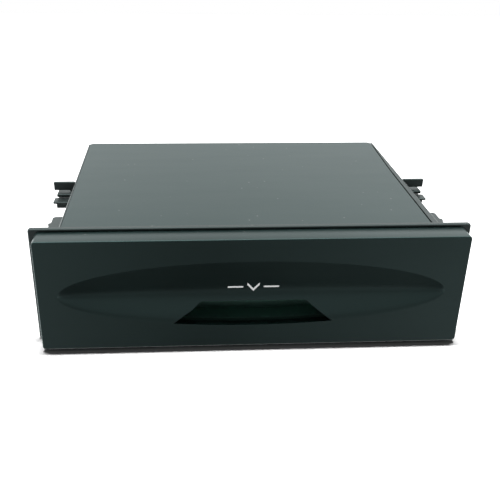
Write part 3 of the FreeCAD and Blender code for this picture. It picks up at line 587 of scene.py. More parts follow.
class Finish(Enum):
    """Every finish of the unit."""

    # Housing and flange get a strong edge lift: part polish wear, part painted highlight along
    # their rounded edges.
    HOUSING = MouldedPlastic("housing_satin", "housing_plastic", (0.0038, 0.0056, 0.0054),
                             roughness=0.40, grain_depth=0.35, polish_lift=4.0,
                             sheen=(0.84, 1.0, 0.99))
    COVER = MouldedPlastic("cover_satin", "cover_plastic", (0.0020, 0.0056, 0.0054),
                           roughness=0.40, grain_depth=0.22, drift=0.12, dust=0.35)
    FLANGE = MouldedPlastic("flange_satin", "flange_plastic", (0.0038, 0.0056, 0.0054),
                            roughness=0.40, grain_depth=0.25, polish_lift=4.0,
                            sheen=(0.84, 1.0, 0.99))
    PANEL = MouldedPlastic("panel_satin", "panel_plastic", (0.0008, 0.0038, 0.0035),
                           roughness=0.31, grain_depth=0.16, drift=0.35, dust=0.3)
    # Colour lifted far above the black plastic's own: a painted fill light that stands in for the
    # light reaching the shaded cup.
    RECESS = MouldedPlastic("recess_matte", "recess_plastic", (0.0650, 0.1280, 0.1080),
                            roughness=0.7, specular=0.05, grain_depth=0.5, polish=0.2, dust=0.1)
    TRAY = MouldedPlastic("tray_grained", "tray_plastic", (0.012, 0.0132, 0.013),
                          roughness=0.52, grain_cells=1700.0, grain_depth=0.7, grain_coarse=0.7)
    SLIDE = MouldedPlastic("slide_smooth", "slide_plastic", (0.055, 0.056, 0.056),
                           roughness=0.25, grain_depth=0.08, polish=0.9, polish_lift=1.8)
    SCREW = Metal("black_zinc", "screw_steel", (0.10, 0.10, 0.11), roughness=0.34, plated=True)
    INSERT = Metal("turned_brass", "insert_brass", (0.72, 0.53, 0.25), roughness=0.28)
    BUFFER = Rubber("buffer_rubber", "buffer_rubber")
    MAT = Rubber("mat_rubber", "mat_rubber", (0.020, 0.021, 0.022), 0.66)
    INK = PrintedInk("light_grey_ink", "panel_plastic")


class Paintbox:
    """Builds each finish once and gives it to pieces."""

    def __init__(self) -> None:
        """Build the shared shader groups."""
        self.kit = ShaderKit()
        self.made: dict[Finish, bpy.types.Material] = {}

    def material(self, finish: Finish) -> bpy.types.Material:
        """Return the material of a finish, making it at its first use."""
        if finish not in self.made:
            self.made[finish] = finish.value.build(self.kit)
        return self.made[finish]

    def dress(self, piece: bpy.types.Object, finish: Finish) -> None:
        """Give a piece one finish all over.

        Args:
            piece: The mesh object.
            finish: What it is finished in.
        """
        piece.data.materials.clear()
        piece.data.materials.append(self.material(finish))


# --------------------------------------------------------------- mesh helpers
def link_piece(name: str, mesh: bpy.types.Mesh) -> bpy.types.Object:
    """Make an object at the origin for a mesh and show it.

    Args:
        name: The piece's name.
        mesh: Its mesh, placed in the row frame.

    Returns:
        The object.
    """
    piece = bpy.data.objects.new(name, mesh)
    bpy.context.scene.collection.objects.link(piece)
    return piece


def mesh_from(name: str, work: bmesh.types.BMesh) -> bpy.types.Mesh:
    """Write a bmesh to a new mesh and free it."""
    mesh = bpy.data.meshes.new(name)
    work.to_mesh(mesh)
    work.free()
    return mesh


def baked(piece: bpy.types.Object) -> bpy.types.Mesh:
    """Run a piece's modifiers, take them off and return the resulting mesh."""
    bpy.context.view_layer.update()
    evaluated = piece.evaluated_get(bpy.context.evaluated_depsgraph_get())
    mesh = bpy.data.meshes.new_from_object(evaluated)
    piece.modifiers.clear()
    return mesh


def boxed(low: Vector, high: Vector, axis: int, corner: float) -> bmesh.types.BMesh:
    """Block between two corners, rounded along one axis.

    Args:
        low: Lowest corner.
        high: Highest corner.
        axis: Number of the axis whose edges are rounded.
        corner: Radius of the rounding.

    Returns:
        The block, which the caller frees.
    """
    work = bmesh.new()
    bmesh.ops.create_cube(work, size=1.0, matrix=Matrix.Translation((high + low) / 2)
                          @ Matrix.Diagonal((*(high - low), 1.0)))
    along = [e for e in work.edges
             if abs((e.verts[0].co - e.verts[1].co).normalized()[axis]) > 0.9]
    bmesh.ops.bevel(work, geom=along, offset=corner, segments=6, profile=0.5, affect="EDGES")
    return work


def mark_edges(mesh: bpy.types.Mesh, faces: Iterable[int]) -> None:
    """Store which faces belong to rounded edges, for the edge polish and its painted highlight.

    Args:
        mesh: The mesh to mark.
        faces: Numbers of the rounded faces.
    """
    layer = mesh.attributes.get(EDGE_ATTRIBUTE)
    layer = layer or mesh.attributes.new(EDGE_ATTRIBUTE, "FLOAT", "FACE")
    for k in faces:
        layer.data[k].value = 1.0


def shade(mesh: bpy.types.Mesh, crease_deg: float) -> None:
    """Shade smooth, with sharp edges where faces meet at more than an angle.

    Args:
        mesh: The mesh to shade.
        crease_deg: The angle past which an edge stays sharp.
    """
    mesh.polygons.foreach_set("use_smooth", [True] * len(mesh.polygons))
    mesh.set_sharp_from_angle(angle=math.radians(crease_deg))


def refined(node: str, name: str, width: float, crease_deg: float = 35.0,
            segments: int = 2) -> bpy.types.Object:
    """Copy a CAD node, clean it and round its sharp edges.

    Args:
        node: The CAD node to copy.
        name: Name of the new piece.
        width: Width of the rounding.
        crease_deg: Edges sharper than this are rounded.
        segments: Faces across the rounding.

    Returns:
        The new piece, which replaces the node.
    """
    work = bmesh.new()
    work.from_mesh(bpy.data.objects[node].data)
    bmesh.ops.remove_doubles(work, verts=work.verts, dist=WELD)
    bmesh.ops.dissolve_limit(work, angle_limit=math.radians(FLAT_MERGE_DEG), verts=work.verts,
                             edges=work.edges)
    sharp = [e for e in work.edges
             if e.is_manifold and e.calc_face_angle(0.0) > math.radians(crease_deg)]
    made = bmesh.ops.bevel(work, geom=sharp, offset=width, offset_type="OFFSET",
                           segments=segments, profile=0.5, affect="EDGES",
                           clamp_overlap=False)
    work.faces.index_update()
    rounded = {f.index for f in made["faces"] if f.is_valid}
    mesh = mesh_from(name, work)
    mark_edges(mesh, rounded)
    shade(mesh, crease_deg)
    piece = link_piece(name, mesh)
    weighted = piece.modifiers.new("even_normals", "WEIGHTED_NORMAL")
    weighted.keep_sharp = True
    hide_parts(node)
    return piece


def grown(name: str, base: bpy.types.Mesh, tree: bpy.types.NodeTree,
          values: dict[str, Any]) -> bpy.types.Object:
    """Run a geometry tree on a mesh and keep the plain result.

    Args:
        name: The piece's name.
        base: The mesh that the tree starts from.
        tree: The geometry tree.
        values: The tree's inputs by name.

    Returns:
        The piece, with no modifier left.
    """
    piece = link_piece(name, base)
    modifier = piece.modifiers.new("grow", "NODES")
    modifier.node_group = tree
    for item in tree.interface.items_tree:
        if item.item_type == "SOCKET" and item.in_out == "INPUT" and item.name in values:
            modifier[item.identifier] = values[item.name]
    piece.data = baked(piece)
    piece.data.name = name
    return piece


def points_mesh(name: str, places: Sequence[Vector], turns: Sequence[Vector]) -> bpy.types.Mesh:
    """Loose points that carry a turn each, for a tree that places copies.

    Args:
        name: The mesh's name.
        places: Where the copies go.
        turns: Euler turn of each copy, whose own axis is +Z.

    Returns:
        The mesh.
    """
    mesh = bpy.data.meshes.new(name)
    mesh.from_pydata([tuple(p) for p in places], [], [])
    layer = mesh.attributes.new("turn", "FLOAT_VECTOR", "POINT")
    for k, turn in enumerate(turns):
        layer.data[k].vector = turn
    return mesh


# ------------------------------------------------------------ geometry trees
def hypotenuse(graph: Graph, one: Any, other: Any) -> bpy.types.NodeSocket:
    """Square root of the sum of two squares.

    Args:
        graph: The graph to add to.
        one: The first side.
        other: The second side.

    Returns:
        The result's socket.
    """
    return graph.math("SQRT", graph.plus(graph.times(one, one), graph.times(other, other)))


class Trees:
    """Geometry trees for what repeats or follows a rule."""

    def __init__(self) -> None:
        """Build every tree."""
        self.scoop = self._scoop()
        self.screws = self._screws()
        self.ribs = self._ribs()
        self.inserts = self._inserts()

    @staticmethod
    def _scoop() -> bpy.types.NodeTree:
        """Cut a lens-shaped scoop into a block.

        The scoop's outline is an ellipse. Its upper flank is straight down to
        a rounded valley, and its lower flank eases out towards the face.

        Returns:
            A tree that takes the block and gives the block with the scoop.
        """
        graph, given, result = new_tree("lens_scoop", {
            "Half Length": 0.08, "Half Height": 0.015,
             "Slope": 0.29, "Valley Radius": 0.0014,
             "Lower Ease": 0.6, "Centre": None,
             "Columns": 181, "Rows": 61})
        out = given.outputs
        grid = graph.add("GeometryNodeMeshGrid", {
            "Size X": 2 * SCOOP_REACH, "Size Y": 2 * SCOOP_OVERLAP,
            "Vertices X": out["Columns"], "Vertices Y": out["Rows"]})
        spot = graph.add("ShaderNodeSeparateXYZ", {
            0: graph.add("GeometryNodeInputPosition").outputs[0]})
        angle = graph.times(spot.outputs["X"], math.pi / 2)
        up = spot.outputs["Y"]
        x = graph.times(graph.math("SINE", angle), out["Half Length"])
        half = graph.times(graph.math("COSINE", angle), out["Half Height"])
        z = graph.times(half, up)
        valley = out["Valley Radius"]
        rim = hypotenuse(graph, half, valley)
        full = graph.minus(rim, valley)
        straight = graph.math("DIVIDE", graph.minus(rim, hypotenuse(graph, z, valley)), full)
        wave = graph.math("COSINE", graph.times(up, math.pi))
        eased = graph.times(0.5, graph.plus(1.0, wave))
        share = graph.times(out["Lower Ease"], graph.math("LESS_THAN", up, 0.0))
        shape = graph.plus(graph.times(straight, graph.minus(1.0, share)),
                           graph.times(eased, share))
        depth = graph.times(graph.times(full, out["Slope"]), shape)
        moved = graph.add("GeometryNodeSetPosition", {
            "Geometry": grid.outputs[0], "Position": graph.add("ShaderNodeVectorMath", {
                0: graph.vector(x, depth, z), 1: out["Centre"]}, operation="ADD").outputs[0]})
        front = graph.add("GeometryNodeExtrudeMesh", {
            "Mesh": moved.outputs[0], "Offset": (0.0, -1.0, 0.0),
            "Offset Scale": graph.times(out["Half Height"], 0.6),
            "Individual": False})
        back = graph.add("GeometryNodeFlipFaces", {0: moved.outputs[0]})
        cutter = graph.add("GeometryNodeMergeByDistance", {
            "Geometry": graph.joined(front, back), "Distance": 1e-7})
        cut = graph.difference(out["Geometry"], cutter.outputs[0])
        Trees._deliver(graph, given, result, cut.outputs[0])
        return graph.tree

    @staticmethod
    def _deliver(graph: Graph, given: bpy.types.Node, result: bpy.types.Node,
                 geometry: Any) -> None:
        """Give the finished geometry its material and put it out.

        Args:
            graph: The tree's graph.
            given: Its input node, with Material.
            result: Its output node.
            geometry: Socket with the finished geometry.
        """
        finish = graph.add("GeometryNodeSetMaterial", {
            "Geometry": geometry, "Material": given.outputs["Material"]})
        graph.feed(result.inputs[0], finish.outputs[0])

    @staticmethod
    def _place_copies(graph: Graph, given: bpy.types.Node, result: bpy.types.Node,
                      copy: Any) -> None:
        """Put a copy on every point, make it real and give it its material.

        Args:
            graph: The tree's graph.
            given: Its input node, with Geometry and Material.
            result: Its output node.
            copy: Socket with the geometry to copy.
        """
        turn = graph.add("GeometryNodeInputNamedAttribute", {"Name": "turn"},
                         data_type="FLOAT_VECTOR")
        rotation = graph.add("FunctionNodeEulerToRotation", {0: turn.outputs["Attribute"]})
        copies = graph.add("GeometryNodeInstanceOnPoints", {
            "Points": given.outputs["Geometry"], "Instance": copy,
            "Rotation": rotation.outputs[0]})
        real = graph.add("GeometryNodeRealizeInstances", {"Geometry": copies.outputs[0]})
        Trees._deliver(graph, given, result, real.outputs[0])

    @classmethod
    def _screws(cls) -> bpy.types.NodeTree:
        """Cross-recess screws on points.

        A copy's origin is the middle of the head's underside, and its head
        looks along +Z.

        Returns:
            A tree that takes points with turns and gives screws.
        """
        graph, given, result = new_tree("screw_set", {
            "Head Radius": 0.0026, "Seat Radius": 0.0026,
             "Head Height": 0.0015, "Crown": 0.0004,
             "Shank Radius": 0.0012, "Shank Length": 0.006,
             "Recess Width": 0.0006, "Recess Span": 0.0028,
             "Recess Depth": 0.0009})
        out = given.outputs
        plain = graph.minus(out["Head Height"], out["Crown"])
        head = graph.add("GeometryNodeMeshCone", {
            "Vertices": 40, "Radius Top": out["Head Radius"], "Radius Bottom": out["Seat Radius"],
            "Depth": plain})
        ball = graph.add("GeometryNodeMeshUVSphere", {"Segments": 40, "Rings": 20, "Radius": 1.0})
        crown_radius = graph.times(out["Head Radius"], 0.985)
        crown = graph.add("GeometryNodeTransform", {
            "Geometry": ball.outputs[0], "Translation": graph.vector(0, 0, plain),
            "Scale": graph.vector(crown_radius, crown_radius, out["Crown"])})
        shank_middle = graph.times(out["Shank Length"], -0.5)
        shank = graph.add("GeometryNodeMeshCylinder", {
            "Vertices": 24, "Radius": out["Shank Radius"],
            "Depth": graph.plus(out["Shank Length"], 0.0004)})
        shank_low = graph.add("GeometryNodeTransform", {
            "Geometry": shank.outputs[0],
            "Translation": graph.vector(0, 0, graph.plus(shank_middle, 0.0002))})
        whole = graph.add("GeometryNodeMeshBoolean", operation="UNION", solver="EXACT")
        for part in (head, crown, shank_low):
            graph.feed(whole.inputs[1], part.outputs[0])
        bars = graph.add("GeometryNodeJoinGeometry")
        for wide, tall in ((out["Recess Span"], out["Recess Width"]),
                           (out["Recess Width"], out["Recess Span"])):
            bar = graph.add("GeometryNodeMeshCube", {"Size": graph.vector(
                wide, tall, graph.times(out["Recess Depth"], 2.0))})
            raised = graph.add("GeometryNodeTransform", {
                "Geometry": bar.outputs[0], "Translation": graph.vector(0, 0, out["Head Height"])})
            graph.feed(bars.inputs[0], raised.outputs[0])
        cross = graph.difference(whole.outputs[0], bars.outputs[0])
        cross.inputs["Self Intersection"].default_value = True
        cls._place_copies(graph, given, result, cross.outputs[0])
        return graph.tree

    @staticmethod
    def _ribs() -> bpy.types.NodeTree:
        """Rounded ribs side by side along Y on a base plate.

        Returns:
            A tree that takes the base plate and gives the ribbed mat.
        """
        graph, given, result = new_tree("mat_ribs", {
            "Rib Length": 0.1, "Rib Radius": 0.0006,
             "Pitch": 0.003, "Count": 20,
             "First": None})
        out = given.outputs
        row = graph.add("GeometryNodeMeshLine", {
            "Count": out["Count"], "Start Location": out["First"],
            "Offset": graph.vector(0, out["Pitch"])})
        half = graph.times(out["Rib Length"], 0.5)
        spine = graph.add("GeometryNodeCurvePrimitiveLine", {
            "Start": graph.vector(graph.times(half, -1.0)), "End": graph.vector(half)})
        profile = graph.add("GeometryNodeCurvePrimitiveCircle", {
            "Resolution": 12, "Radius": out["Rib Radius"]})
        rib = graph.add("GeometryNodeCurveToMesh", {
            "Curve": spine.outputs[0], "Profile Curve": profile.outputs[0], "Fill Caps": True})
        copies = graph.add("GeometryNodeInstanceOnPoints", {
            "Points": row.outputs[0], "Instance": rib.outputs[0]})
        real = graph.add("GeometryNodeRealizeInstances", {"Geometry": copies.outputs[0]})
        Trees._deliver(graph, given, result, graph.joined(real, given))
        return graph.tree

    @classmethod
    def _inserts(cls) -> bpy.types.NodeTree:
        """Threaded inserts on points, open along +Z.

        Returns:
            A tree that takes points with turns and gives inserts.
        """
        graph, given, result = new_tree("insert_set", {
            "Outer Radius": 0.0034, "Bore Radius": 0.0021,
             "Length": 0.006, "Thread Pitch": 0.0008,
             "Thread Count": 7})
        out = given.outputs
        barrel = graph.add("GeometryNodeMeshCylinder", {
            "Vertices": 48, "Radius": out["Outer Radius"], "Depth": out["Length"]})
        bore = graph.add("GeometryNodeMeshCylinder", {
            "Vertices": 40, "Radius": out["Bore Radius"],
            "Depth": graph.times(out["Length"], 1.5)})
        tube = graph.difference(barrel.outputs[0], bore.outputs[0])
        lowest = graph.times(graph.minus(out["Thread Count"], 1.0), -0.5)
        row = graph.add("GeometryNodeMeshLine", {
            "Count": out["Thread Count"],
            "Start Location": graph.vector(0, 0, graph.times(lowest, out["Thread Pitch"])),
            "Offset": graph.vector(0, 0, out["Thread Pitch"])})
        ring_path = graph.add("GeometryNodeCurvePrimitiveCircle", {
            "Resolution": 40, "Radius": out["Bore Radius"]})
        ridge = graph.add("GeometryNodeCurvePrimitiveCircle", {
            "Resolution": 6, "Radius": graph.times(out["Thread Pitch"], 0.3)})
        ring = graph.add("GeometryNodeCurveToMesh", {
            "Curve": ring_path.outputs[0], "Profile Curve": ridge.outputs[0]})
        threads = graph.add("GeometryNodeInstanceOnPoints", {
            "Points": row.outputs[0], "Instance": ring.outputs[0]})
        real = graph.add("GeometryNodeRealizeInstances", {"Geometry": threads.outputs[0]})
        cls._place_copies(graph, given, result, graph.joined(tube, real))
        return graph.tree


# -------------------------------------------------------------- sub-assemblies
class Side(Enum):
    """The two sides of the unit."""

    LEFT = -1
    RIGHT = 1

    @property
    def word(self) -> str:
        """Name of the side in lower case."""
        return self.name.lower()


@dataclass
class SubAssembly:
    """Pieces that share a CAD body."""

    paint: Paintbox
    trees: Trees
    body: str = "housing"
    pieces: list[bpy.types.Object] = field(default_factory=list)

    def place(self, piece: bpy.types.Object, finish: Finish) -> bpy.types.Object:
        """Dress a piece, fix it to its body and report it.

        Args:
            piece: The finished mesh object.
            finish: What it is finished in.

        Returns:
            The same piece.
        """
        self.paint.dress(piece, finish)
        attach(piece, self.body)
        self.pieces.append(piece)
        LOG.info("%s rides on %s: %d faces, %s", piece.name, self.body,
                 len(piece.data.polygons), finish.name.lower())
        return piece


@dataclass
class Fascia(SubAssembly):
    """The drawer's front: scooped panel, pull cup and printed mark."""

    body: str = "drawer"
    corner: float = 1.4 * MM
    edge: float = 0.4 * MM
    back_edge: float = 0.25 * MM
    wall: float = 2.6 * MM
    skin: float = 2.4 * MM
    scoop_half_length: float = 82.3 * MM
    scoop_half_height: float = 15.2 * MM
    scoop_depth: float = 4.0 * MM
    scoop_valley: float = 1.4 * MM
    scoop_ease: float = 0.95
    recess_top_half: float = 22.4 * MM
    recess_low_half: float = 34.4 * MM
    recess_top_drop: float = 4.7 * MM
    recess_low_drop: float = 13.8 * MM
    recess_mid_drop: float = 15.1 * MM
    recess_edge: float = 0.15 * MM
    recess_steps: int = 48
    cut_angle_deg: float = 48.0
    shade_angle_deg: float = 22.0
    small_face: float = 4e-4
    lip_front: float = 0.7 * MM
    lip_back: float = 2.8 * MM
    lip_drop: float = 1.5 * MM
    mark_half_width: float = 11.0 * MM
    mark_half_height: float = 2.2 * MM
    mark_rise: float = 1.6 * MM
    mark_stroke: float = 0.8 * MM
    mark_thick: float = 0.06 * MM
    mark_gap: float = 0.01 * MM
    bar_start: float = 0.40
    arm_reach: float = 0.24
    arm_stroke: float = 3.2

    def build(self) -> None:
        """Make the panel, the cup and the mark."""
        self.low, self.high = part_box("front_panel")
        self.middle = (self.low.z + self.high.z) / 2
        self.place(self.make_panel(), Finish.PANEL)
        self.place(refined("pull_cup", "finger_cup", 0.25 * MM, segments=3), Finish.RECESS)
        self.place(self.make_mark(), Finish.INK)

    @property
    def slope(self) -> float:
        """Steepness of the scoop's straight upper flank."""
        reach = math.hypot(self.scoop_half_height, self.scoop_valley) - self.scoop_valley
        return self.scoop_depth / reach

    def surface(self, x: float, z: float) -> float:
        """Y of the panel's face at a point, scoop included.

        Args:
            x: Across the unit.
            z: Height.

        Returns:
            The face's Y.
        """
        rise = z - self.middle
        taper = math.sqrt(max(0.0, 1.0 - (x / self.scoop_half_length) ** 2))
        half = self.scoop_half_height * taper
        if abs(rise) >= half:
            return self.low.y
        valley = self.scoop_valley
        full = math.hypot(half, valley) - valley
        straight = (math.hypot(half, valley) - math.hypot(rise, valley)) / full
        eased = (1.0 + math.cos(math.pi * rise / half)) / 2
        share = self.scoop_ease if rise < 0 else 0.0
        return self.low.y + self.slope * full * (straight * (1 - share) + eased * share)

    def make_block(self) -> bpy.types.Mesh:
        """Solid block of the panel with its outline rounded.

        Returns:
            The block's mesh.
        """
        work = boxed(self.low, self.high, 1, self.corner)
        for y, width, segments in ((self.low.y, self.edge, 5), (self.high.y, self.back_edge, 3)):
            rim = [e for e in work.edges if all(abs(v.co.y - y) < WELD for v in e.verts)]
            bmesh.ops.bevel(work, geom=rim, offset=width, segments=segments, profile=0.5,
                            affect="EDGES")
        return mesh_from("panel_block", work)

    def recess_outline(self, drop: float = 0.0) -> list[tuple[float, float]]:
        """Trapezoid whose lower edge follows the scoop's lower boundary.

        Args:
            drop: How far the lower edge moves down.

        Returns:
            Points (X, Z) anticlockwise as seen from the front.
        """
        top = self.middle - self.recess_top_drop
        low = self.middle - self.recess_low_drop - drop
        sag = self.recess_mid_drop - self.recess_low_drop
        half = self.recess_low_half
        radius = (half ** 2 + sag ** 2) / (2 * sag)
        steps = self.recess_steps
        points = [(self.recess_top_half, top), (-self.recess_top_half, top)]
        for k in range(steps + 1):
            x = -half + 2 * half * k / steps
            points.append((x, low - sag + radius - math.sqrt(radius ** 2 - x ** 2)))
        return points

    @staticmethod
    def tunnel(name: str, rings: Sequence[tuple[float, Sequence[tuple[float, float]]]]
               ) -> bpy.types.Object:
        """Closed solid through outlines that stand one behind the other.

        Args:
            name: The cutter's name.
            rings: Y of each outline and its points (X, Z), front first.

        Returns:
            The cutter, which the caller removes.
        """
        work = bmesh.new()
        loops = [[work.verts.new((x, y, z)) for x, z in points] for y, points in rings]
        work.faces.new(loops[0])
        work.faces.new(loops[-1])
        for near, far in zip(loops, loops[1:]):
            for k, corner in enumerate(near):
                work.faces.new((near[k - 1], corner, far[k], far[k - 1]))
        bmesh.ops.recalc_face_normals(work, faces=work.faces)
        return link_piece(name, mesh_from(name, work))

    def make_panel(self) -> bpy.types.Object:
        """Scooped, hollow panel with the finger opening.

        Returns:
            The panel, which replaces its CAD node.
        """
        panel = grown("front_panel_fascia", self.make_block(), self.trees.scoop, {
            "Half Length": self.scoop_half_length, "Half Height": self.scoop_half_height,
            "Slope": self.slope, "Valley Radius": self.scoop_valley,
            "Lower Ease": self.scoop_ease, "Centre": (0.0, self.low.y, self.middle),
            "Material": self.paint.material(Finish.PANEL)})
        inner = self.low.y + self.scoop_depth + self.skin
        hollow = [(s * (self.high.x - self.wall), self.middle + t * (
            (self.high.z - self.low.z) / 2 - self.wall))
            for s, t in ((1, 1), (-1, 1), (-1, -1), (1, -1))]
        mouth, dropped = self.recess_outline(), self.recess_outline(self.lip_drop)
        past = self.high.y + 1 * MM
        cutters = [self.tunnel("hollow_cutter", ((inner, hollow), (past, hollow))),
                   self.tunnel("opening_cutter", (
                       (self.low.y - 1 * MM, mouth), (self.low.y + self.lip_front, mouth),
                       (self.low.y + self.lip_back, dropped), (past, dropped)))]
        for cutter in cutters:
            tool = panel.modifiers.new(cutter.name, "BOOLEAN")
            tool.operation = "DIFFERENCE"
            tool.solver = "EXACT"
            tool.object = cutter
        mesh = baked(panel)
        for cutter in cutters:
            bpy.data.objects.remove(cutter)
        panel.data = self.finish_panel(mesh)
        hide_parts("front_panel")
        return panel

    def finish_panel(self, mesh: bpy.types.Mesh) -> bpy.types.Mesh:
        """Round the cut edges and shade the panel.

        Args:
            mesh: The panel as cut.

        Returns:
            The finished mesh.
        """
        work = bmesh.new()
        work.from_mesh(mesh)
        bmesh.ops.remove_doubles(work, verts=work.verts, dist=2e-6)
        bmesh.ops.dissolve_degenerate(work, edges=work.edges, dist=1e-6)
        cut_edges = [e for e in work.edges
                     if e.is_manifold
                     and e.calc_face_angle(0.0) > math.radians(self.cut_angle_deg)
                     and e.verts[0].co.y < self.low.y + self.scoop_depth
                     and e.verts[1].co.y < self.low.y + self.scoop_depth
                     and abs(e.verts[0].co.x) < self.recess_low_half + 1 * MM]
        made = bmesh.ops.bevel(work, geom=cut_edges, offset=self.recess_edge, segments=2,
                               profile=0.5, affect="EDGES", clamp_overlap=True)
        work.faces.index_update()
        rounded = {f.index for f in made["faces"] if f.is_valid}
        # Faces of the front outline's rounding take the lighter edge colour: polish wear and
        # painted highlight.
        edge_zone = self.edge * 0.98
        for f in work.faces:
            c = f.calc_center_median()
            near_side = min(self.high.x - abs(c.x), self.high.z - c.z, c.z - self.low.z)
            on_edge = c.y < self.low.y + edge_zone and near_side < edge_zone
            if on_edge and f.calc_area() < self.small_face and abs(f.normal.y) < 0.999:
                rounded.add(f.index)
        finished = mesh_from("front_panel_fascia", work)
        mark_edges(finished, rounded)
        shade(finished, self.shade_angle_deg)
        self.crease_scoop(finished)
        return finished

    def crease_scoop(self, mesh: bpy.types.Mesh) -> None:
        """Keep the flat face flat: its border with the scoop stays a sharp line.

        Args:
            mesh: The panel's mesh.
        """
        flat = [p.normal.y < -0.99999 and abs(p.center.y - self.low.y) < 1e-6
                for p in mesh.polygons]
        count = [0] * len(mesh.edges)
        key_of = {tuple(sorted(e.vertices)): e.index for e in mesh.edges}
        for p in mesh.polygons:
            if flat[p.index]:
                for pair in p.edge_keys:
                    count[key_of[tuple(sorted(pair))]] += 1
        sharp = mesh.attributes.get("sharp_edge")
        sharp = sharp or mesh.attributes.new("sharp_edge", "BOOLEAN", "EDGE")
        for k, n in enumerate(count):
            if n == 1:
                sharp.data[k].value = True

    def make_mark(self) -> bpy.types.Object:
        """Generic pull mark: two bars either side of a downward chevron.

        Returns:
            The printed mark, laid on the scoop.
        """
        w, h = self.mark_half_width, self.mark_half_height
        thin = self.mark_stroke / 2
        start = self.bar_start
        bars = [[(s * w, -thin), (s * start * w, -thin), (s * start * w, thin), (s * w, thin)]
                for s in (-1, 1)]
        arm, fat = self.arm_reach * w, self.arm_stroke * thin
        chevron = [(-arm, h), (-arm, h - fat), (0, -h), (arm, h - fat), (arm, h), (0, fat - h)]
        work = bmesh.new()
        for shape in (*bars, chevron):
            work.faces.new([work.verts.new((x, 0.0, z)) for x, z in shape])
        bmesh.ops.triangulate(work, faces=work.faces)
        bmesh.ops.subdivide_edges(work, edges=work.edges, cuts=3, use_grid_fill=True)
        bmesh.ops.recalc_face_normals(work, faces=work.faces)
        base_z = self.middle + self.mark_rise
        for f in work.faces:
            if f.normal.y > 0:
                f.normal_flip()
        for v in work.verts:
            z = base_z + v.co.z
            v.co = Vector((v.co.x, self.surface(v.co.x, z) + self.mark_gap, z))
        made = bmesh.ops.extrude_face_region(work, geom=list(work.faces))
        front = {v for v in made["geom"] if isinstance(v, bmesh.types.BMVert)}
        bmesh.ops.translate(work, verts=list(front), vec=(0, -self.mark_thick, 0))
        bmesh.ops.recalc_face_normals(work, faces=work.faces)
        return link_piece("pull_mark", mesh_from("pull_mark", work))


@dataclass
class Housing(SubAssembly):
    """Shell, cover, flange, lugs, rails and buffers."""

    shell_edge: float = 0.25 * MM
    cover_edge: float = 0.12 * MM
    lug_edge: float = 0.35 * MM
    flange_edge: float = 0.25 * MM
    rail_edge: float = 0.15 * MM
    buffer_edge: float = 0.6 * MM

    def build(self) -> None:
        """Make every housing piece that is not a fastener."""
        self.place(refined("housing_shell", "housing_tub", self.shell_edge), Finish.HOUSING)
        self.place(refined("top_cover", "cover_plate", self.cover_edge), Finish.COVER)
        self.place(refined("flange_frame", "front_flange", self.flange_edge), Finish.FLANGE)
        for side in Side:
            word = side.word
            self.place(refined(f"{word}_mounting_lug", f"{word}_lug_arm", self.lug_edge),
                       Finish.HOUSING)
            self.place(refined(f"{word}_guide_rail", f"{word}_rail_strip", self.rail_edge),
                       Finish.SLIDE)
        self.place(refined("rear_buffers", "rubber_buffers", self.buffer_edge, segments=4),
                   Finish.BUFFER)


@dataclass
class Tongue(SubAssembly):
    """One sprung stop tongue in the floor."""

    side: Side = Side.LEFT

    def build(self) -> None:
        """Make the tongue on its own body."""
        self.body = f"{self.side.word}_tongue"
        self.place(refined(f"{self.side.word}_stop_tongue", f"{self.side.word}_stop_spring",
                           0.18 * MM), Finish.HOUSING)


@dataclass
class Drawer(SubAssembly):
    """Tray, ribbed mat and runners."""

    body: str = "drawer"
    rib_radius: float = 0.55 * MM
    rib_pitch: float = 2.4 * MM
    mat_margin: float = 3.2 * MM
    mat_corner: float = 3.2 * MM

    def build(self) -> None:
        """Make the tray and what rides with it."""
        self.place(refined("drawer_tray", "storage_tray", 0.3 * MM), Finish.TRAY)
        for side in Side:
            self.place(refined(f"{side.word}_runner", f"{side.word}_glide", 0.2 * MM),
                       Finish.SLIDE)
        self.place(self.make_mat(), Finish.MAT)

    def make_mat(self) -> bpy.types.Object:
        """Anti-slip mat: a rounded plate with ribs across it.

        Returns:
            The mat, which replaces its CAD node.
        """
        low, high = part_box("tray_mat")
        plate_top = high.z - self.rib_radius
        work = boxed(low, Vector((high.x, high.y, plate_top)), 2, self.mat_corner)
        room = high.y - low.y - 2 * self.mat_margin
        count = int(room / self.rib_pitch) + 1
        first_y = (high.y + low.y) / 2 - (count - 1) * self.rib_pitch / 2
        mat = grown("ribbed_mat", mesh_from("mat_plate", work), self.trees.ribs, {
            "Rib Length": high.x - low.x - 2 * self.mat_margin, "Rib Radius": self.rib_radius,
            "Pitch": self.rib_pitch, "Count": count, "First": (0.0, first_y, plate_top),
            "Material": self.paint.material(Finish.MAT)})
        shade(mat.data, 40.0)
        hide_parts("tray_mat")
        return mat


@dataclass(frozen=True)
class ScrewKind:
    """Sizes of one kind of screw."""

    node: str
    name: str
    body: str
    head_radius: float
    seat_radius: float
    head_height: float
    crown: float
    shank_radius: float
    shank_length: float
    face: Callable[[Vector, Vector, float], tuple[Vector, Vector]]


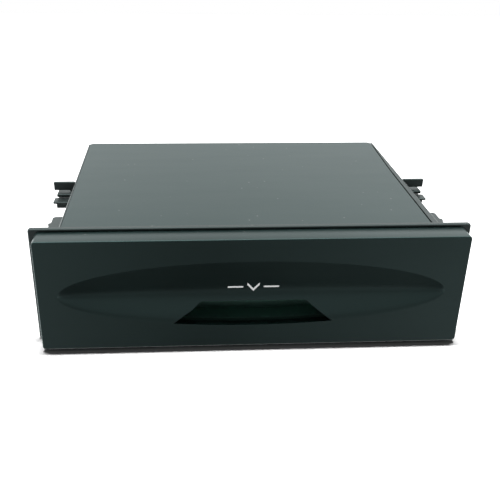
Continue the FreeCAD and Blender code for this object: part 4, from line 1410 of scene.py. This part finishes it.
@dataclass
class Fasteners(SubAssembly):
    """Screws and threaded inserts, placed where the CAD nodes have them."""

    insert_bore: float = 2.1 * MM
    shade_angle_deg: float = 38.0

    def build(self) -> None:
        """Make every set of screws, then the inserts."""
        for kind in self.kinds():
            self.body = kind.body
            self.place(self.make_screws(kind), Finish.SCREW)
        self.body = "housing"
        self.place(self.make_inserts(), Finish.INSERT)

    @staticmethod
    def islands(node: str) -> list[tuple[Vector, Vector]]:
        """Boxes of the separate solids of a CAD node.

        Args:
            node: The node's name.

        Returns:
            Lowest and highest corner of each solid.
        """
        work = bmesh.new()
        work.from_mesh(bpy.data.objects[node].data)
        bmesh.ops.remove_doubles(work, verts=work.verts, dist=WELD)
        left = set(work.verts)
        boxes = []
        while left:
            stack = [left.pop()]
            members = list(stack)
            while stack:
                for edge in stack.pop().link_edges:
                    for v in edge.verts:
                        if v in left:
                            left.discard(v)
                            stack.append(v)
                            members.append(v)
            boxes.append((Vector(map(min, *(v.co for v in members))),
                          Vector(map(max, *(v.co for v in members)))))
        work.free()
        return sorted(boxes, key=lambda b: tuple(round(c, 6) for c in b[0]))

    @staticmethod
    def sideways(right: bool) -> Vector:
        """Euler turn that points +Z out of the right or the left wall."""
        return Vector((0, math.radians(90 if right else -90), 0))

    def kinds(self) -> list[ScrewKind]:
        """Every kind of screw in the unit.

        Returns:
            Sizes, and for each box where the head sits and how it is turned.
        """
        toward_front = Vector((math.radians(90), 0, 0))
        toward_rear = Vector((math.radians(-90), 0, 0))

        def flange(low: Vector, high: Vector, head: float) -> tuple[Vector, Vector]:
            """Head underside and turn of a flange screw."""
            middle = (low + high) / 2
            return Vector((middle.x, low.y + head, middle.z)), toward_front

        def panel(low: Vector, high: Vector, head: float) -> tuple[Vector, Vector]:
            """Head underside and turn of a panel screw."""
            middle = (low + high) / 2
            return Vector((middle.x, high.y - head, middle.z)), toward_rear

        def lug(low: Vector, high: Vector, head: float) -> tuple[Vector, Vector]:
            """Head underside and turn of a lug screw."""
            middle = (low + high) / 2
            right = low.x > 0
            x = high.x - head if right else low.x + head
            return Vector((x, middle.y, middle.z)), self.sideways(right)

        return [
            ScrewKind("flange_screws", "flange_screw_set", "housing", 3.0 * MM, 1.4 * MM,
                      1.6 * MM, 0.12 * MM, 1.25 * MM, 8.8 * MM, flange),
            ScrewKind("lug_screws", "lug_screw_set", "housing", 2.6 * MM, 2.6 * MM,
                      1.5 * MM, 0.55 * MM, 1.15 * MM, 3.7 * MM, lug),
            ScrewKind("panel_screws", "panel_screw_set", "drawer", 2.7 * MM, 2.7 * MM,
                      1.8 * MM, 0.6 * MM, 1.2 * MM, 6.4 * MM, panel),
        ]

    def make_screws(self, kind: ScrewKind) -> bpy.types.Object:
        """One set of cross-recess screws.

        Args:
            kind: The screw's sizes and places.

        Returns:
            The set as one piece.
        """
        spots = [kind.face(low, high, kind.head_height)
                 for low, high in self.islands(kind.node)]
        points = points_mesh(kind.name, [s[0] for s in spots], [s[1] for s in spots])
        piece = grown(kind.name, points, self.trees.screws, {
            "Head Radius": kind.head_radius, "Seat Radius": kind.seat_radius,
            "Head Height": kind.head_height, "Crown": kind.crown,
            "Shank Radius": kind.shank_radius, "Shank Length": kind.shank_length,
            "Material": self.paint.material(Finish.SCREW)})
        shade(piece.data, self.shade_angle_deg)
        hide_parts(kind.node)
        return piece

    def make_inserts(self) -> bpy.types.Object:
        """Threaded brass inserts in the side bosses.

        Returns:
            The inserts as one piece.
        """
        boxes = self.islands("side_inserts")
        middles = [(low + high) / 2 for low, high in boxes]
        turns = [self.sideways(m.x > 0) for m in middles]
        low, high = boxes[0]
        points = points_mesh("insert_points", middles, turns)
        piece = grown("brass_inserts", points, self.trees.inserts, {
            "Outer Radius": (high.z - low.z) / 2, "Bore Radius": self.insert_bore,
            "Length": high.x - low.x, "Material": self.paint.material(Finish.INSERT)})
        shade(piece.data, self.shade_angle_deg)
        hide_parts("side_inserts")
        return piece


# ------------------------------------------------------------------- studio
@dataclass
class Studio:
    """Pale floor, soft lights and the camera."""

    camera_place: Vector = field(default_factory=lambda: Vector((-0.03034, -0.33825, 0.17211)))
    tilt_deg: float = 26.85
    pan_deg: float = 4.12
    roll_deg: float = 0.9
    lens: float = 52.07
    shift: tuple[float, float] = (0.0429, 0.0491)
    floor_half: float = 0.9
    ambient: float = 0.07
    tint: Colour = (0.97, 1.0, 1.0)
    overhead_watts: float = 48.0
    overhead_size: tuple[float, float] = (0.45, 0.07)
    overhead_place: tuple[float, float, float] = (0.0, 0.01, 1.4)
    sensor: float = 36.0
    clip: tuple[float, float] = (0.01, 50.0)
    paper: Colour = (0.93, 0.93, 0.93)
    paper_shade: Colour = (0.90, 0.90, 0.90)
    left_gain: float = 3.0
    right_gain: float = 1.8

    def build(self) -> None:
        """Set up floor, light and camera."""
        self.make_floor()
        self.make_world()
        self.make_lights()
        self.make_camera()

    def make_floor(self) -> None:
        """Pale floor that touches the flange's lower edge and the rear wall's."""
        flange_low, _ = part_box("flange_frame")
        shell_low, shell_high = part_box("housing_shell")
        slope = shell_low.z / (shell_high.y - flange_low.y)
        half = self.floor_half
        work = bmesh.new()
        corners = [work.verts.new((x, y, (y - flange_low.y) * slope))
                   for x, y in ((-half, -half), (half, -half), (half, half), (-half, half))]
        work.faces.new(corners)
        floor = link_piece("studio_floor", mesh_from("studio_floor", work))
        material, graph, surface, place = new_material("floor_paper")
        paper = graph.add("ShaderNodeTexNoise", {"Vector": place, "Scale": 900.0})
        graph.feed(surface.inputs["Base Color"], graph.mix(
            graph.times(paper.outputs[0], 0.2), opaque(self.paper), opaque(self.paper_shade)))
        surface.inputs["Roughness"].default_value = 0.9
        surface.inputs["Specular IOR Level"].default_value = 0.0
        floor.data.materials.append(material)
        floor.visible_glossy = False
        floor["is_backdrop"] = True

    def make_world(self) -> None:
        """White surroundings, bright behind and at the sides, dim low in front."""
        world = bpy.data.worlds.new("studio_world")
        bpy.context.scene.world = world
        world.use_nodes = True
        graph = Graph(world.node_tree)
        way = graph.add("ShaderNodeSeparateXYZ", {
            0: graph.add("ShaderNodeTexCoord").outputs["Generated"]})
        across, up = way.outputs["X"], way.outputs["Z"]
        front = graph.plus(graph.ramp(up, -0.84, -0.45, 0.0, 0.2),
                           graph.ramp(up, -0.2, 0.1, 0.0, 0.25))
        back = graph.minus(graph.ramp(up, 0.0, 0.25, 2.0, 1.27),
                           graph.ramp(up, 0.25, 0.6, 0.0, 0.4))
        behind = graph.ramp(way.outputs["Y"], -0.3, 0.3)
        around = graph.plus(graph.times(back, behind),
                            graph.times(front, graph.minus(1.0, behind)))
        left = graph.times(graph.math("MAXIMUM", graph.times(across, -1.0), 0.0), self.left_gain)
        right = graph.times(graph.math("MAXIMUM", across, 0.0), self.right_gain)
        level = graph.minus(graph.ramp(up, -1.0, -0.5, 0.2, 1.0),
                            graph.ramp(up, -0.48, -0.25, 0.0, 0.6))
        sides = graph.times(graph.plus(left, right), level)
        overhead = graph.ramp(up, 0.72, 0.92, 0.0, 4.0)
        mirrored = graph.plus(graph.plus(around, sides), overhead)
        ray = graph.add("ShaderNodeLightPath")
        direct = graph.times(ray.outputs["Is Glossy Ray"],
                             graph.math("LESS_THAN", ray.outputs["Diffuse Depth"], 0.5))
        strength = graph.add("ShaderNodeMix", {
            0: direct, 2: self.ambient, 3: mirrored}, data_type="FLOAT")
        seen = graph.add("ShaderNodeMix", {
            0: ray.outputs["Is Camera Ray"], 2: strength.outputs[0], 3: 1.0}, data_type="FLOAT")
        colour = graph.mix(ray.outputs["Is Camera Ray"], opaque(self.tint), WHITE)
        background = world.node_tree.nodes["Background"]
        graph.feed(background.inputs["Color"], colour)
        graph.feed(background.inputs["Strength"], seen.outputs[0])
        bpy.context.scene.view_settings.view_transform = "Standard"

    def make_lights(self) -> None:
        """One soft box overhead."""
        data = bpy.data.lights.new("overhead_box", "AREA")
        data.energy = self.overhead_watts
        data.shape = "RECTANGLE"
        data.size, data.size_y = self.overhead_size
        lamp = bpy.data.objects.new("overhead_box", data)
        lamp.location = self.overhead_place
        lamp.visible_glossy = False
        bpy.context.scene.collection.objects.link(lamp)

    def make_camera(self) -> None:
        """Camera at the viewing angle of a product shot from above the front."""
        data = bpy.data.cameras.new("product_camera")
        data.sensor_width = self.sensor
        data.lens = self.lens
        data.shift_x, data.shift_y = self.shift
        data.clip_start, data.clip_end = self.clip
        camera = bpy.data.objects.new("product_camera", data)
        tilt, pan, roll = (math.radians(a) for a in (self.tilt_deg, self.pan_deg, self.roll_deg))
        ahead = Vector((math.sin(pan) * math.cos(tilt), math.cos(pan) * math.cos(tilt),
                        -math.sin(tilt)))
        level = ahead.cross(Vector((0, 0, 1))).normalized()
        upright = level.cross(ahead)
        right = math.cos(roll) * level + math.sin(roll) * upright
        up = -math.sin(roll) * level + math.cos(roll) * upright
        turn = Matrix((right, up, -ahead)).transposed().to_4x4()
        camera.matrix_world = Matrix.Translation(self.camera_place) @ turn
        bpy.context.scene.collection.objects.link(camera)
        bpy.context.scene.camera = camera


def write_sizes(cad_box: tuple[Vector, Vector]) -> None:
    """Write the CAD box and the visual model's box side by side.
    """
    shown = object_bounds()
    for axis, a, b, c, d in zip("XYZ", cad_box[0], cad_box[1], shown[0], shown[1]):
        LOG.info("%s: CAD %.2f to %.2f mm, shown %.2f to %.2f mm", axis, a / MM, b / MM,
                 c / MM, d / MM)


def main() -> None:
    """Load the frame, build every sub-assembly, then the studio."""
    logging.basicConfig(level=logging.INFO, format="%(name)s: %(message)s")
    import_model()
    cad_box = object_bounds()
    paint, trees = Paintbox(), Trees()
    for assembly in (Housing(paint, trees), Tongue(paint, trees, side=Side.LEFT),
                     Tongue(paint, trees, side=Side.RIGHT), Drawer(paint, trees),
                     Fascia(paint, trees), Fasteners(paint, trees)):
        assembly.build()
        LOG.info("%s done: %d pieces", type(assembly).__name__, len(assembly.pieces))
    Studio().build()
    write_sizes(cad_box)


if __name__ == "__main__":
    main()
